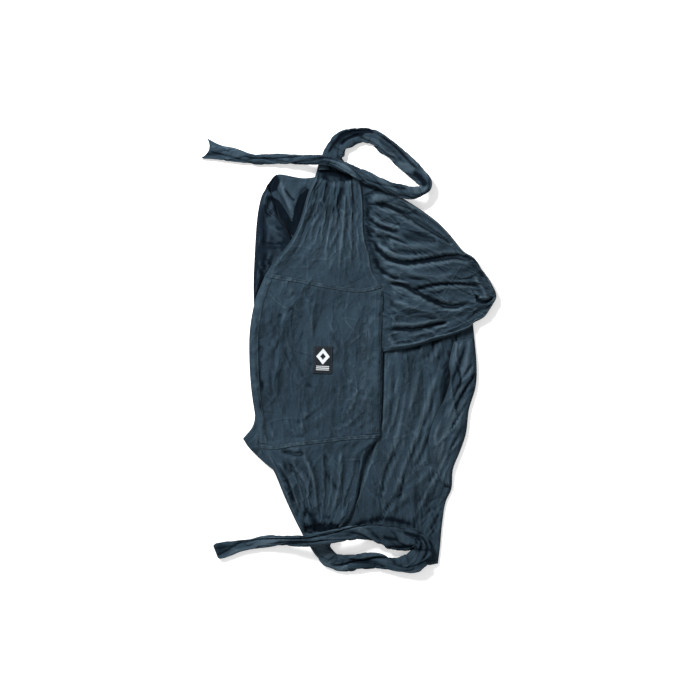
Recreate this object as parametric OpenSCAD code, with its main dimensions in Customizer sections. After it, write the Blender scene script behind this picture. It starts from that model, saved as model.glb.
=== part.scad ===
// Fabric baby carrier laid out flat: a long cloth loop and a gathered short loop joined by a band,
// with the separate tie sash lying across them. Millimetres, +Z up, origin at the middle of the
// floor that it lies on, +Y along the sash towards its upper tie.

/* [Overall, as laid] */
// Width across both loops and the tie tails
laid_w = 586; // [570:2:602]
// Length from the upper tie loop to the lower tie loop
laid_l = 889; // [865:2:911]

/* [Cloth] */
// Height that one crumpled layer of jersey takes up
layer_h = 4; // [3:0.5:5]
// Height of a gathered, puckered layer
gather_h = 10; // [8:1:11]
// Height that a turned hem or tape adds
hem_h = 1.5; // [1:0.5:2]
// Free gap between the sash and the loops under it
lift_gap = 0.5; // [0.3:0.1:0.8]

/* [Hems and seams] */
// Width of the short loop's lower hem
loop_hem_w = 16; // [12:1:20]
// Width of the long loop's end hem
end_hem_w = 12; // [8:1:14]
// Width of the flat-felled seams above and below the pocket
seam_w = 10; // [8:1:12]
// Width of the hem down the pocket's left side
side_hem_w = 18; // [14:1:20]
// Width of the doubled band down the pocket's right side
side_band_w = 30; // [24:1:32]

/* [Ties] */
// Height of a tie, which is cloth folded on itself
tie_h = 12; // [10:1:13]
// Width of the folded tie at its tail
tail_w = 24; // [20:1:26]
// Length of the turned hem at each tie's end
tie_hem_l = 12; // [8:1:14]
// Slack round each tail's turning point
swing_gap = 2.6; // [2.4:0.1:3]

/* [Label] */
// Width of the woven label
label_w = 38; // [34:1:42]
// Height of the woven label
label_l = 55; // [50:1:60]
// Thickness of the woven label
label_t = 1; // [0.6:0.1:1.2]

/* [Thread] */
// Width of a line of topstitching
thread_w = 0.8; // [0.6:0.1:1]
// Distance between the two lines of a double topstitch
twin_gap = 5; // [4:0.5:6]
// Ladder stitches on the joining seam
ladder_count = 8; // [5:1:9]

/* [Hidden] */
curve_steps = 4;
section_sides = 12;
nominal_w = 586;
nominal_l = 889;

// Heights at which each layer starts, from the floor up
z_long_front = layer_h;
z_on_long = 2 * layer_h;
z_short_front = 3 * layer_h;
z_sash = z_short_front + lift_gap;
z_pocket_front = z_sash + layer_h;
z_hems = z_sash + 2 * layer_h;
z_threads = z_hems + hem_h;
thread_h = 0.5;
vee_h = 2;
side_fold_h = 7;

// Heights of a tie's middle: on the floor, over the long loop and over the sash
tie_on_floor = tie_h / 2;
tie_on_long = z_on_long + hem_h + lift_gap + tie_h / 2;
tie_on_top = z_threads + thread_h + lift_gap + tie_h / 2;
neck_h = 2 * layer_h;
tie_at_neck = z_sash + neck_h / 2;

cloth = [0.20, 0.27, 0.32];
cloth_light = [0.24, 0.31, 0.37];
cloth_dark = [0.12, 0.17, 0.21];
thread_colour = [0.16, 0.21, 0.26];
label_colour = [0.13, 0.15, 0.17];

// Curves ---------------------------------------------------------------------------------------

// Puts a nominal point where the stated overall size puts it; extra values of the point are kept
function lay(p) = [
    for (i = [0 : len(p) - 1])
        i == 0 ? p[0] * laid_w / nominal_w : i == 1 ? p[1] * laid_l / nominal_l : p[i]
];
function lay_all(points) = [for (p = points) lay(p)];

// A cubic through b and c whose slopes come from a and d
function cubic(a, b, c, d, t) =
    0.5 * (2 * b + (c - a) * t
        + (2 * a - 5 * b + 4 * c - d) * t * t
        + (3 * b - a - 3 * c + d) * t * t * t);

// Point i of an open list, mirrored past its ends
function reach(p, i) =
    i < 0 ? 2 * p[0] - p[1] :
    i >= len(p) ? 2 * p[len(p) - 1] - p[len(p) - 2] :
    p[i];

// A smooth open curve through the points
function smooth(p, steps = curve_steps) = [
    for (i = [0 : len(p) - 2])
        for (k = [0 : steps - 1])
            cubic(reach(p, i - 1), p[i], p[i + 1], reach(p, i + 2), k / steps),
    p[len(p) - 1]
];

// A smooth closed curve through the points
function smooth_loop(p, steps = curve_steps) = [
    for (i = [0 : len(p) - 1])
        for (k = [0 : steps - 1])
            cubic(
                p[(i + len(p) - 1) % len(p)], p[i],
                p[(i + 1) % len(p)], p[(i + 2) % len(p)], k / steps)
];

function reversed(p) = [for (i = [len(p) - 1 : -1 : 0]) p[i]];
function unit(v) = v / norm(v);

// Level sideways direction at point i of a curve, to the left of its run
function sideways(p, i) =
    let (
        ahead = reach(p, i + 1),
        behind = reach(p, i - 1),
        along = unit([ahead[0] - behind[0], ahead[1] - behind[1]])
    )
    [-along[1], along[0]];

// The curve moved sideways by d
function shifted(p, d) = [for (i = [0 : len(p) - 1]) [p[i][0], p[i][1]] + d * sideways(p, i)];

// A closed strip of width w, centred on a curve
function strip(p, w) = concat(shifted(p, w / 2), reversed(shifted(p, -w / 2)));

// A closed strip between a curve and the same curve moved sideways by d
function edge_strip(p, d) = concat(p, reversed(shifted(p, d)));

// Solids ---------------------------------------------------------------------------------------

module slab(outline, z, h) {
    translate([0, 0, z])
        linear_extrude(h)
            polygon(outline);
}

function sign_power(v, e) = sign(v) * pow(abs(v), e);

// One ring of a tie: a flattened oval, upright and square to the run at station i
function tie_ring(path, i) = [
    for (k = [0 : section_sides - 1])
        let (
            a = 360 * k / section_sides,
            side = sideways(path, i) * path[i][3] / 2 * sign_power(cos(a), 0.7),
            up = path[i][4] / 2 * sign_power(sin(a), 0.8)
        )
        [path[i][0] + side[0], path[i][1] + side[1], path[i][2] + up]
];

// A tie from station first to station last of a path of [x, y, z, width, height] stations
module tie(path, first, last) {
    rings = [for (i = [first : last]) tie_ring(path, i)];
    count = len(rings);
    n = section_sides;
    walls = [
        for (r = [0 : count - 2])
            for (k = [0 : n - 1])
                [r * n + k, r * n + (k + 1) % n, (r + 1) * n + (k + 1) % n, (r + 1) * n + k]
    ];
    caps = [
        [for (k = [n - 1 : -1 : 0]) k],
        [for (k = [0 : n - 1]) (count - 1) * n + k]
    ];
    polyhedron(points = [for (r = rings) for (p = r) p], faces = concat(walls, caps), convexity = 6);
}

// Outlines -------------------------------------------------------------------------------------

// The sash's two edges, from the neck down: upper wing, pocket, lower wing
upper_left = smooth(lay_all([
    [-68, 350], [-84, 310], [-96, 268], [-108, 235], [-126, 206], [-148, 181], [-168, 150]
]));
upper_right = smooth(lay_all([
    [5, 350], [22, 338], [28, 300], [30, 250], [33, 222], [43, 188], [49, 158], [67, 128]
]));
pocket_left = smooth(lay_all([
    [-168, 150], [-188, 100], [-199, 40], [-200, -20], [-196, -80], [-187, -140], [-179, -192]
]));
pocket_right = smooth(lay_all([
    [67, 128], [69, 100], [66, 40], [65, -20], [64, -80], [62, -140], [60, -172]
]));
lower_left = smooth(lay_all([
    [-179, -192], [-152, -240], [-131, -290], [-112, -332], [-97, -362]
]));
lower_right = smooth(lay_all([
    [60, -172], [35, -205], [22, -245], [15, -290], [0, -335], [-23, -362]
]));

// The pocket's seams, from left to right
top_seam = smooth(lay_all([
    [-168, 150], [-137, 143], [-110, 139], [-75, 132], [-15, 121], [25, 118], [67, 128]
]));
bottom_seam = smooth(lay_all([
    [-179, -192], [-150, -194], [-112, -188], [-60, -182], [0, -175], [60, -172]
]));

upper_panel_outline = concat(upper_left, top_seam, reversed(upper_right));
pocket_outline = concat(pocket_left, bottom_seam, reversed(pocket_right), reversed(top_seam));
lower_panel_outline = concat(lower_left, reversed(lower_right), reversed(bottom_seam));

// The long loop, which runs from the upper left to the lower right
long_loop_outline = smooth_loop(lay_all([
    [-145, 350], [-95, 343], [-30, 340], [60, 270], [150, 160], [245, 52],
    [252, -28], [250, -74], [237, -118], [231, -166], [219, -202], [205, -238],
    [202, -276], [190, -305], [183, -350], [179, -395], [175, -426],
    [147, -426], [105, -388], [40, -368], [-50, -356], [-88, -335],
    [-130, -250], [-170, -150], [-185, -40], [-190, 110], [-190, 184], [-185, 260],
    [-176, 306], [-162, 328]
]));
end_hem_edge = smooth(lay_all([[175, -424], [147, -424], [105, -386], [40, -366], [-45, -355]]));

// The strip of the long loop that is turned over down its right side
side_fold_outline = smooth_loop(lay_all([
    [206, 16], [244, 24], [250, -28], [248, -72], [235, -118], [229, -166], [217, -202],
    [203, -238], [199, -272], [186, -270], [165, -232], [156, -185], [165, -145],
    [190, -90], [199, -55], [197, -25]
]));

// The long loop's upper left end, which is folded forward into a collar round an open vee
collar_edge = smooth(lay_all([
    [-162, 326], [-160, 304], [-147, 298], [-145, 272], [-129, 252], [-122, 236], [-122, 216]
]));
left_end_edge = smooth(lay_all([
    [-190, 112], [-192, 140], [-190, 184], [-185, 260], [-176, 306], [-162, 326]
]));
left_of_sash = smooth(lay_all([[-122, 216], [-136, 196], [-155, 178], [-173, 152], [-190, 112]]));
vee_outline = lay_all([
    [-145, 348], [-95, 341], [-72, 343], [-88, 310], [-100, 268], [-112, 235], [-121, 218],
    [-121, 236], [-128, 254], [-143, 274], [-145, 300], [-158, 306], [-160, 326]
]);

// The band that joins the two loops, with the corner that shows at the lower left
joining_outline = concat(
    smooth(lay_all([[-187, -144], [-192, -60], [-195, 30], [-178, 100]])),
    smooth(lay_all([[-140, 145], [-85, 190], [-80, 40], [-85, -100], [-105, -205], [-150, -238]])),
    lay_all([[-197, -199], [-213, -177]])
);

// The short loop: its free edge from the hem's outer end round the tip to the neck
short_free_edge = smooth(lay_all([
    [246, 54], [267, 66], [281, 86], [291, 108], [279, 136], [261, 160], [247, 183],
    [222, 200], [187, 242], [161, 268], [115, 302], [70, 322], [28, 337]
]));
short_hem_line = smooth(lay_all([[68, -4], [121, 4], [163, 17], [201, 28], [235, 42], [246, 54]]));
short_hem_inner = shifted(short_hem_line, loop_hem_w);
short_left_edge = [
    for (p = concat(
        smooth(lay_all([[22, 338], [28, 300], [30, 250], [33, 222], [43, 188], [49, 158], [67, 128]])),
        smooth(lay_all([[69, 100], [66, 40], [65, 14]]))
    ))
        p + [3, 0]
];
short_front_outline = concat(
    short_left_edge,
    [for (i = [1 : len(short_hem_inner) - 4]) short_hem_inner[i]],
    short_free_edge
);
short_back_outline = concat(
    smooth(lay_all([[28, 335], [-20, 325], [-60, 270], [-72, 180], [-70, 90], [-30, 20], [68, -4]])),
    short_hem_line,
    short_free_edge
);

// Ties: [x, y, z, width, height] stations, out from the neck, round the loop and back to the tail
upper_tie_path = smooth(lay_all([
    [-31, 351, tie_at_neck, 72, neck_h], [-31, 368, tie_at_neck, 54, neck_h],
    [-31, 392, tie_on_floor + 2, 44, tie_h], [-16, 417, tie_on_floor, 40, tie_h],
    [16, 428, tie_on_floor, 32, tie_h], [50, 423, tie_on_floor, 34, tie_h],
    [82, 400, tie_on_floor, 36, tie_h], [112, 371, tie_on_floor, 34, tie_h],
    [138, 348, tie_on_floor + 4, 32, tie_h], [150, 332, tie_on_long, 30, tie_h],
    [144, 317, tie_on_long + 6, 28, tie_h], [124, 312, tie_on_top, 26, tie_h],
    [95, 320, tie_on_top, 28, tie_h], [55, 334, tie_on_top, 28, tie_h],
    [25, 347, tie_on_top, 26, tie_h], [-5, 362, tie_on_top, tail_w, tie_h],
    [-45, 376, tie_on_top, tail_w, tie_h], [-73, 378, tie_on_top - 2, tail_w, tie_h],
    [-107, 379, tie_on_long + 2, tail_w, tie_h], [-153, 381, tie_on_floor + 1, 28, tie_h],
    [-195, 380, tie_on_floor, 22, tie_h], [-233, 388, tie_on_floor, 30, tie_h],
    [-267, 396, tie_on_floor, 32, tie_h], [-291, 403, tie_on_floor, 42, tie_h]
]));
lower_tie_path = smooth(lay_all([
    [-60, -363, tie_at_neck, 74, neck_h], [-60, -378, tie_at_neck - 2, 52, neck_h],
    [-58, -402, tie_on_floor + 1, 34, tie_h], [-38, -422, tie_on_floor, 34, tie_h],
    [0, -425, tie_on_floor, 36, tie_h], [50, -422, tie_on_floor + 1, 36, tie_h],
    [88, -431, tie_on_long - 4, 28, tie_h], [120, -429, tie_on_long, 32, tie_h],
    [144, -405, tie_on_long, 44, tie_h], [134, -377, tie_on_long, 46, tie_h],
    [98, -370, tie_on_long, 52, tie_h], [62, -364, tie_on_long, 48, tie_h],
    [31, -364, tie_on_long + 3, 34, tie_h], [2, -367, tie_on_top - 3, 30, tie_h],
    [-27, -371, tie_on_top, 26, tie_h], [-57, -377, tie_on_top, tail_w, tie_h],
    [-87, -379, tie_on_top, tail_w, tie_h], [-129, -381, tie_on_long + 4, tail_w, tie_h],
    [-165, -385, tie_on_floor + 2, tail_w, tie_h], [-209, -392, tie_on_floor, tail_w, tie_h],
    [-245, -399, tie_on_floor, 30, tie_h], [-266, -402, tie_on_floor, 32, tie_h]
]));

// Stations at which each tie turns back and at which its tail turns
upper_turn = 9 * curve_steps;
upper_swing = 16 * curve_steps;
lower_turn = 8 * curve_steps;
lower_swing = 16 * curve_steps;

label_centre = lay([-54, -20]);
label_tilt = -2;
label_frame_inset = 2;

// The carrier ----------------------------------------------------------------------------------

module long_loop_back() {
    color(cloth_dark)
        slab(long_loop_outline, 0, layer_h);
}

module long_loop_front() {
    color(cloth)
        slab(long_loop_outline, z_long_front, layer_h);
}

module long_loop_end_hem() {
    color(cloth_light)
        slab(edge_strip(end_hem_edge, -end_hem_w), z_on_long, hem_h);
}

module long_loop_side_fold() {
    color(cloth)
        slab(side_fold_outline, z_on_long, side_fold_h);
}

module left_end_fold() {
    color(cloth)
        slab(concat(left_end_edge, collar_edge, left_of_sash), z_on_long, side_fold_h);
}

module vee_panel() {
    color(cloth_dark)
        slab(vee_outline, z_on_long, vee_h);
}

module ladder_stitches() {
    stitch_l = 4;
    pitch = 2.6;
    start = lay([-115, 280]);
    color(thread_colour)
        for (i = [0 : ladder_count - 1])
            translate([start[0] + i * pitch * 0.25, start[1] - i * pitch, z_on_long + vee_h])
                rotate(15)
                    translate([-stitch_l / 2, -thread_w / 2, 0])
                        cube([stitch_l, thread_w, thread_h]);
}

module joining_band() {
    color(cloth)
        slab(joining_outline, z_on_long, layer_h);
}

module short_loop_back() {
    color(cloth_dark)
        slab(short_back_outline, z_on_long, layer_h);
}

module short_loop_front() {
    color(cloth)
        slab(short_front_outline, z_short_front, gather_h);
}

module short_loop_hem() {
    outer = [for (i = [1 : len(short_hem_line) - 4]) short_hem_line[i]];
    inner = [for (i = [1 : len(short_hem_inner) - 4]) short_hem_inner[i]];
    color(cloth_light)
        slab(concat(outer, reversed(inner)), z_short_front, layer_h);
}

module short_loop_hem_thread() {
    line = shifted(short_hem_line, loop_hem_w - twin_gap / 2);
    color(thread_colour)
        slab(strip([for (i = [1 : len(line) - 5]) line[i]], thread_w), z_short_front + layer_h, thread_h);
}

// The sash -------------------------------------------------------------------------------------

module sash_upper_panel() {
    color(cloth)
        slab(upper_panel_outline, z_sash, neck_h);
}

module sash_lower_panel() {
    color(cloth)
        slab(lower_panel_outline, z_sash, neck_h);
}

module pocket_back() {
    color(cloth_dark)
        slab(pocket_outline, z_sash, layer_h);
}

module pocket_front() {
    color(cloth)
        slab(pocket_outline, z_pocket_front, layer_h);
}

module pocket_top_seam() {
    color(cloth_light)
        slab(strip(top_seam, seam_w), z_hems, hem_h);
}

module pocket_bottom_seam() {
    color(cloth_light)
        slab(strip(bottom_seam, seam_w), z_hems, hem_h);
}

// A hem along one side of the pocket, cut clear of both seams
module side_strip(edge, width) {
    clear_w = seam_w + 1;
    difference() {
        slab(edge_strip(edge, width), z_hems, hem_h);
        slab(strip(top_seam, clear_w), z_hems - 1, hem_h + 2);
        slab(strip(bottom_seam, clear_w), z_hems - 1, hem_h + 2);
        above_pocket();
    }
}

// The space above the pocket's upper seam, where no side hem reaches
module above_pocket() {
    reach_up = 60;
    slab(
        concat(top_seam, [top_seam[len(top_seam) - 1] + [0, reach_up], top_seam[0] + [0, reach_up]]),
        z_hems - 1, hem_h + 2);
}

module side_hem_left() {
    color(cloth_light)
        side_strip(pocket_left, side_hem_w);
}

module side_band_right() {
    color(cloth_light)
        side_strip(pocket_right, -side_band_w);
}

// Two lines of topstitching along a curve
module twin_threads(line, z) {
    for (side = [-1, 1])
        slab(strip(shifted(line, side * twin_gap / 2), thread_w), z, thread_h);
}

module seam_threads() {
    color(thread_colour) {
        twin_threads(top_seam, z_threads);
        twin_threads(bottom_seam, z_threads);
    }
}

module side_threads() {
    inset = 2;
    first = curve_steps;
    last = len(pocket_right) - 1 - curve_steps;
    right = [for (i = [first : last]) pocket_right[i]];
    left = [for (i = [first : last]) pocket_left[i]];
    color(thread_colour) {
        slab(strip(shifted(right, -inset), thread_w), z_threads, thread_h);
        slab(strip(shifted(right, inset - side_band_w), thread_w), z_threads, thread_h);
        slab(strip(shifted(left, side_hem_w - inset), thread_w), z_threads, thread_h);
    }
}

module bar_tacks() {
    tack_l = 9;
    tack_w = 2;
    spots = lay_all([[54, 96], [48, -150], [-178, 96], [-176, -150]]);
    color(thread_colour)
        for (spot = spots)
            translate([spot[0], spot[1], z_threads + thread_h / 2])
                cube([tack_w, tack_l, thread_h], center = true);
}

module label_place(z) {
    translate([label_centre[0], label_centre[1], z])
        rotate(label_tilt)
            children();
}

module label() {
    color(label_colour)
        label_place(z_hems)
            translate([-label_w / 2, -label_l / 2, 0])
                cube([label_w, label_l, label_t]);
}

module label_threads() {
    outer = [label_w - 2 * label_frame_inset, label_l - 2 * label_frame_inset];
    inner = outer - [2 * thread_w, 2 * thread_w];
    color(thread_colour)
        label_place(z_hems + label_t)
            linear_extrude(thread_h)
                difference() {
                    square(outer, center = true);
                    square(inner, center = true);
                }
}

// The ties -------------------------------------------------------------------------------------

// The space that a tail's round end needs to turn in, at station i of its tie
module swing_hollow(path, i) {
    translate([path[i][0], path[i][1], path[i][2]])
        cylinder(h = 3 * tie_h, d = path[i][3] + 2 * swing_gap, center = true, $fn = 48);
}

// The part of a tie that lies between its turn and its tail, hollowed round the tail's end
module tie_return(path, turn, swing) {
    difference() {
        tie(path, turn, swing);
        swing_hollow(path, swing);
    }
}

// Stations that round off a tail behind station i, as half a circle seen from above
function round_end(path, i) =
    let (
        side = sideways(path, i),
        behind = [-side[1], side[0]],
        width = path[i][3]
    )
    [
        for (a = [75 : -15 : 15])
            [
                path[i][0] + behind[0] * sin(a) * width / 2,
                path[i][1] + behind[1] * sin(a) * width / 2,
                path[i][2], width * cos(a), path[i][4]
            ]
    ];

// A tail from its round end up to its end hem
module tie_tail(path, swing) {
    after_last = len(path) - curve_steps;
    stations = concat(round_end(path, swing), [for (i = [swing : after_last]) path[i]]);
    tie(stations, 0, len(stations) - 2);
}

module tie_end_hem(path) {
    last = len(path) - 1;
    tie(path, last - curve_steps, last);
}

module upper_tie_band() {
    color(cloth)
        tie(upper_tie_path, 0, upper_turn);
}

module upper_tie_return() {
    color(cloth)
        tie_return(upper_tie_path, upper_turn, upper_swing);
}

module upper_tie_tail() {
    color(cloth)
        tie_tail(upper_tie_path, upper_swing);
}

module upper_tie_end_hem() {
    color(cloth_light)
        tie_end_hem(upper_tie_path);
}

module lower_tie_band() {
    color(cloth)
        tie(lower_tie_path, 0, lower_turn);
}

module lower_tie_return() {
    color(cloth)
        tie_return(lower_tie_path, lower_turn, lower_swing);
}

module lower_tie_tail() {
    color(cloth)
        tie_tail(lower_tie_path, lower_swing);
}

module lower_tie_end_hem() {
    color(cloth_dark)
        tie_end_hem(lower_tie_path);
}

long_loop_back();
long_loop_front();
long_loop_end_hem();
long_loop_side_fold();
left_end_fold();
vee_panel();
ladder_stitches();
joining_band();
short_loop_back();
short_loop_front();
short_loop_hem();
short_loop_hem_thread();
sash_upper_panel();
sash_lower_panel();
pocket_back();
pocket_front();
pocket_top_seam();
pocket_bottom_seam();
side_hem_left();
side_band_right();
seam_threads();
side_threads();
bar_tacks();
label();
label_threads();
upper_tie_band();
upper_tie_return();
upper_tie_tail();
upper_tie_end_hem();
lower_tie_band();
lower_tie_return();
lower_tie_tail();
lower_tie_end_hem();
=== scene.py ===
"""Looks of a fabric baby carrier laid out flat: two jersey loops and the tie sash across them."""

import logging
import math
from dataclasses import dataclass
from enum import Enum
from typing import Sequence

import bpy
import numpy as np
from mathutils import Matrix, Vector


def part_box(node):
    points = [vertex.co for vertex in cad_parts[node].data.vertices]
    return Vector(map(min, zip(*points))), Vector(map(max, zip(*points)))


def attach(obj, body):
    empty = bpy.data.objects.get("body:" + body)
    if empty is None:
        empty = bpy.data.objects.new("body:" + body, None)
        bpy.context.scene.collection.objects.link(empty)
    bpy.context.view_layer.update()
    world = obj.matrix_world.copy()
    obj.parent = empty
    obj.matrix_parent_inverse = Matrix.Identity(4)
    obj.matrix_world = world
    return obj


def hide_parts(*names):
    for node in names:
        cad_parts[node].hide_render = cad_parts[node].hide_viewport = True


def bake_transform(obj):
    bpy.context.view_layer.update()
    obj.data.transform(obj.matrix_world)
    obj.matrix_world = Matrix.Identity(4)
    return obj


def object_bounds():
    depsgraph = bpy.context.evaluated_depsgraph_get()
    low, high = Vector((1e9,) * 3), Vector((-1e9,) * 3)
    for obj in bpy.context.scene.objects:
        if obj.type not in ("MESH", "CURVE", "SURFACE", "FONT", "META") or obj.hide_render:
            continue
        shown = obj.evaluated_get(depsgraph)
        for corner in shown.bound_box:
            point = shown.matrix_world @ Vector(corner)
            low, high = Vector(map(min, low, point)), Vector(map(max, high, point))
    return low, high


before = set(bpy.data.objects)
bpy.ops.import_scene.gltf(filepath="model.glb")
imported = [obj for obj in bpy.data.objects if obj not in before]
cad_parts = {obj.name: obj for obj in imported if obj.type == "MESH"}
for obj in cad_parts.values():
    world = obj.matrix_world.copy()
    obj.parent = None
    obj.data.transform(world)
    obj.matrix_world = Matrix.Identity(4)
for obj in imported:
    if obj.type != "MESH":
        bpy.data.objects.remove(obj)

LOG = logging.getLogger("carrier")
CAD_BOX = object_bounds()
MM = 0.001
NOMINAL_SIZE = (586.0, 889.0)

MIXED = 2
TINY = 1e-12

Points = Sequence[Sequence[float]]
Colour = tuple[float, float, float]


def grey(value: float) -> Colour:
    """An even grey."""
    return (value, value, value)


class Held(Enum):
    """How a sheet of cloth is held."""

    LAID = "laid"
    GATHERED = "gathered"
    FOLDED = "folded"


class Body(Enum):
    """The bodies that pieces ride on."""

    CARRIER = "carrier"
    SASH = "sash"
    UPPER_TAIL = "upper_tail"
    LOWER_TAIL = "lower_tail"


# ---------------------------------------------------------------------------------------------
# Curves and surfaces
# ---------------------------------------------------------------------------------------------


def plan(points: Points) -> np.ndarray:
    """Put nominal millimetre points where the frame's own size puts them.

    The first two values of each point are scaled from the nominal size to the frame's box, and
    any further values are only turned into metres.

    Args:
        points: Rows of at least an x and a y, in millimetres.

    Returns:
        The same rows in metres.
    """
    rows = np.array(points, float) * MM
    low, high = np.array(CAD_BOX[0]), np.array(CAD_BOX[1])
    rows[:, 0] *= (high[0] - low[0]) / (NOMINAL_SIZE[0] * MM)
    rows[:, 1] *= (high[1] - low[1]) / (NOMINAL_SIZE[1] * MM)
    return rows


def smooth_curve(points: np.ndarray, steps: int = 12) -> np.ndarray:
    """Draw a smooth open curve through points.

    Each stretch is the cubic whose end slopes are half the chords across its neighbours.

    Args:
        points: Rows of coordinates.
        steps: Samples on each stretch.

    Returns:
        The samples, ending on the last point.
    """
    padded = np.vstack([2 * points[0] - points[1], points, 2 * points[-1] - points[-2]])
    a, b, c, d = padded[:-3], padded[1:-2], padded[2:-1], padded[3:]
    t = (np.arange(steps) / steps)[None, :, None]
    a, b, c, d = (m[:, None, :] for m in (a, b, c, d))
    rows = 0.5 * (
        2 * b + (c - a) * t
        + (2 * a - 5 * b + 4 * c - d) * t**2
        + (3 * b - a - 3 * c + d) * t**3
    )
    return np.vstack([rows.reshape(-1, points.shape[1]), points[-1]])


def running_length(points: np.ndarray) -> np.ndarray:
    """Distance of each point from the first, along the line through them."""
    steps = np.linalg.norm(np.diff(points, axis=0), axis=1)
    return np.concatenate([[0.0], np.cumsum(steps)])


def along_line(line: np.ndarray, run: np.ndarray, wanted: np.ndarray) -> np.ndarray:
    """Points of a line at the wanted running lengths."""
    return np.stack([np.interp(wanted, run, line[:, k]) for k in range(line.shape[1])], axis=1)


def even_curve(points: np.ndarray, count: int) -> np.ndarray:
    """Resample the smooth curve through points at even steps of plan length.

    Args:
        points: Rows of coordinates.
        count: How many samples to return.

    Returns:
        The samples, from the first point to the last.
    """
    dense = smooth_curve(points)
    run = running_length(dense[:, :2])
    return along_line(dense, run, np.linspace(0.0, run[-1], count))


def span_surface(
    left: np.ndarray, right: np.ndarray, top: np.ndarray, bottom: np.ndarray, nu: int, nv: int
) -> np.ndarray:
    """Fill the region between four curves.

    A point is the blend of the left and right curves by u, plus the blend of the top and bottom
    curves by v, less the blend of the four corners by both.

    Args:
        left: Points down the left side.
        right: Points down the right side.
        top: Points along the top, left to right.
        bottom: Points along the bottom, left to right.
        nu: Columns of the grid.
        nv: Rows of the grid.

    Returns:
        A grid of shape (nv, nu, 2).
    """
    l, r = even_curve(left, nv)[:, None, :], even_curve(right, nv)[:, None, :]
    t, b = even_curve(top, nu)[None, :, :], even_curve(bottom, nu)[None, :, :]
    u = np.linspace(0, 1, nu)[None, :, None]
    v = np.linspace(0, 1, nv)[:, None, None]
    corners = (
        (1 - u) * (1 - v) * t[:, :1] + u * (1 - v) * t[:, -1:]
        + (1 - u) * v * b[:, :1] + u * v * b[:, -1:]
    )
    return (1 - u) * l + u * r + (1 - v) * t + v * b - corners


def ease(t: np.ndarray) -> np.ndarray:
    """Rise smoothly from 0 to 1 as t does."""
    t = np.clip(t, 0.0, 1.0)
    return t * t * (3 - 2 * t)


def value_noise(x: np.ndarray, y: np.ndarray, scale: float, seed: int) -> np.ndarray:
    """Smooth random heights from -1 to 1: lattice values eased between neighbours.

    Args:
        x: Sample x.
        y: Sample y.
        scale: Distance between lattice points.
        seed: Chooses the lattice values.

    Returns:
        One height for each sample.
    """
    size = 64
    table = np.random.default_rng(seed).uniform(-1, 1, (size, size))
    gx, gy = x / scale + 7.3, y / scale + 3.1
    ix, iy = np.floor(gx).astype(int), np.floor(gy).astype(int)
    fx, fy = ease(gx - ix), ease(gy - iy)
    a, b = table[iy % size, ix % size], table[iy % size, (ix + 1) % size]
    c, d = table[(iy + 1) % size, ix % size], table[(iy + 1) % size, (ix + 1) % size]
    return (a * (1 - fx) + b * fx) * (1 - fy) + (c * (1 - fx) + d * fx) * fy


def softly_capped(h: np.ndarray, ceiling: np.ndarray | float) -> np.ndarray:
    """Bend heights over so that they approach a ceiling and never pass it."""
    return ceiling * np.tanh(np.maximum(h, 0) / ceiling)


def blurred(z: np.ndarray, passes: int) -> np.ndarray:
    """Average a grid with its neighbours, a number of times over."""
    for _ in range(passes):
        p = np.pad(z, 1, mode="edge")
        z = (p[:-2, 1:-1] + p[2:, 1:-1] + p[1:-1, :-2] + p[1:-1, 2:] + 2 * z) / 6
    return z


def refined(grid: np.ndarray, times: int) -> np.ndarray:
    """Make a grid denser, with each new point on the cubic through its four neighbours.

    Args:
        grid: The grid.
        times: Steps in place of each one.

    Returns:
        The denser grid, which passes through the old points.
    """
    for axis in (0, 1):
        g = np.moveaxis(grid, axis, 0)
        p = np.concatenate([2 * g[:1] - g[1:2], g, 2 * g[-1:] - g[-2:-1]])
        at = np.arange((len(g) - 1) * times + 1) / times
        i = np.minimum(at.astype(int), len(g) - 2)
        t = (at - i).reshape(-1, *([1] * (g.ndim - 1)))
        before, here, ahead, beyond = p[i], p[i + 1], p[i + 2], p[i + 3]
        out = here + 0.5 * t * (
            ahead - before
            + t * (2 * before - 5 * here + 4 * ahead - beyond
                   + t * (3 * (here - ahead) + beyond - before)))
        grid = np.moveaxis(out, 0, axis)
    return grid


def units(rows: np.ndarray) -> np.ndarray:
    """Vectors of length 1 that point the same ways."""
    return rows / np.maximum(np.linalg.norm(rows, axis=-1, keepdims=True), TINY)


def normals_of(grid: np.ndarray) -> np.ndarray:
    """Unit normals of a grid, square to its two runs and turned mostly upwards."""
    du = np.gradient(grid, axis=1)
    dv = np.gradient(grid, axis=0)
    n = units(np.cross(dv, du))
    return n * (1.0 if n[..., 2].mean() >= 0 else -1.0)


# ---------------------------------------------------------------------------------------------
# Folds
# ---------------------------------------------------------------------------------------------


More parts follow.
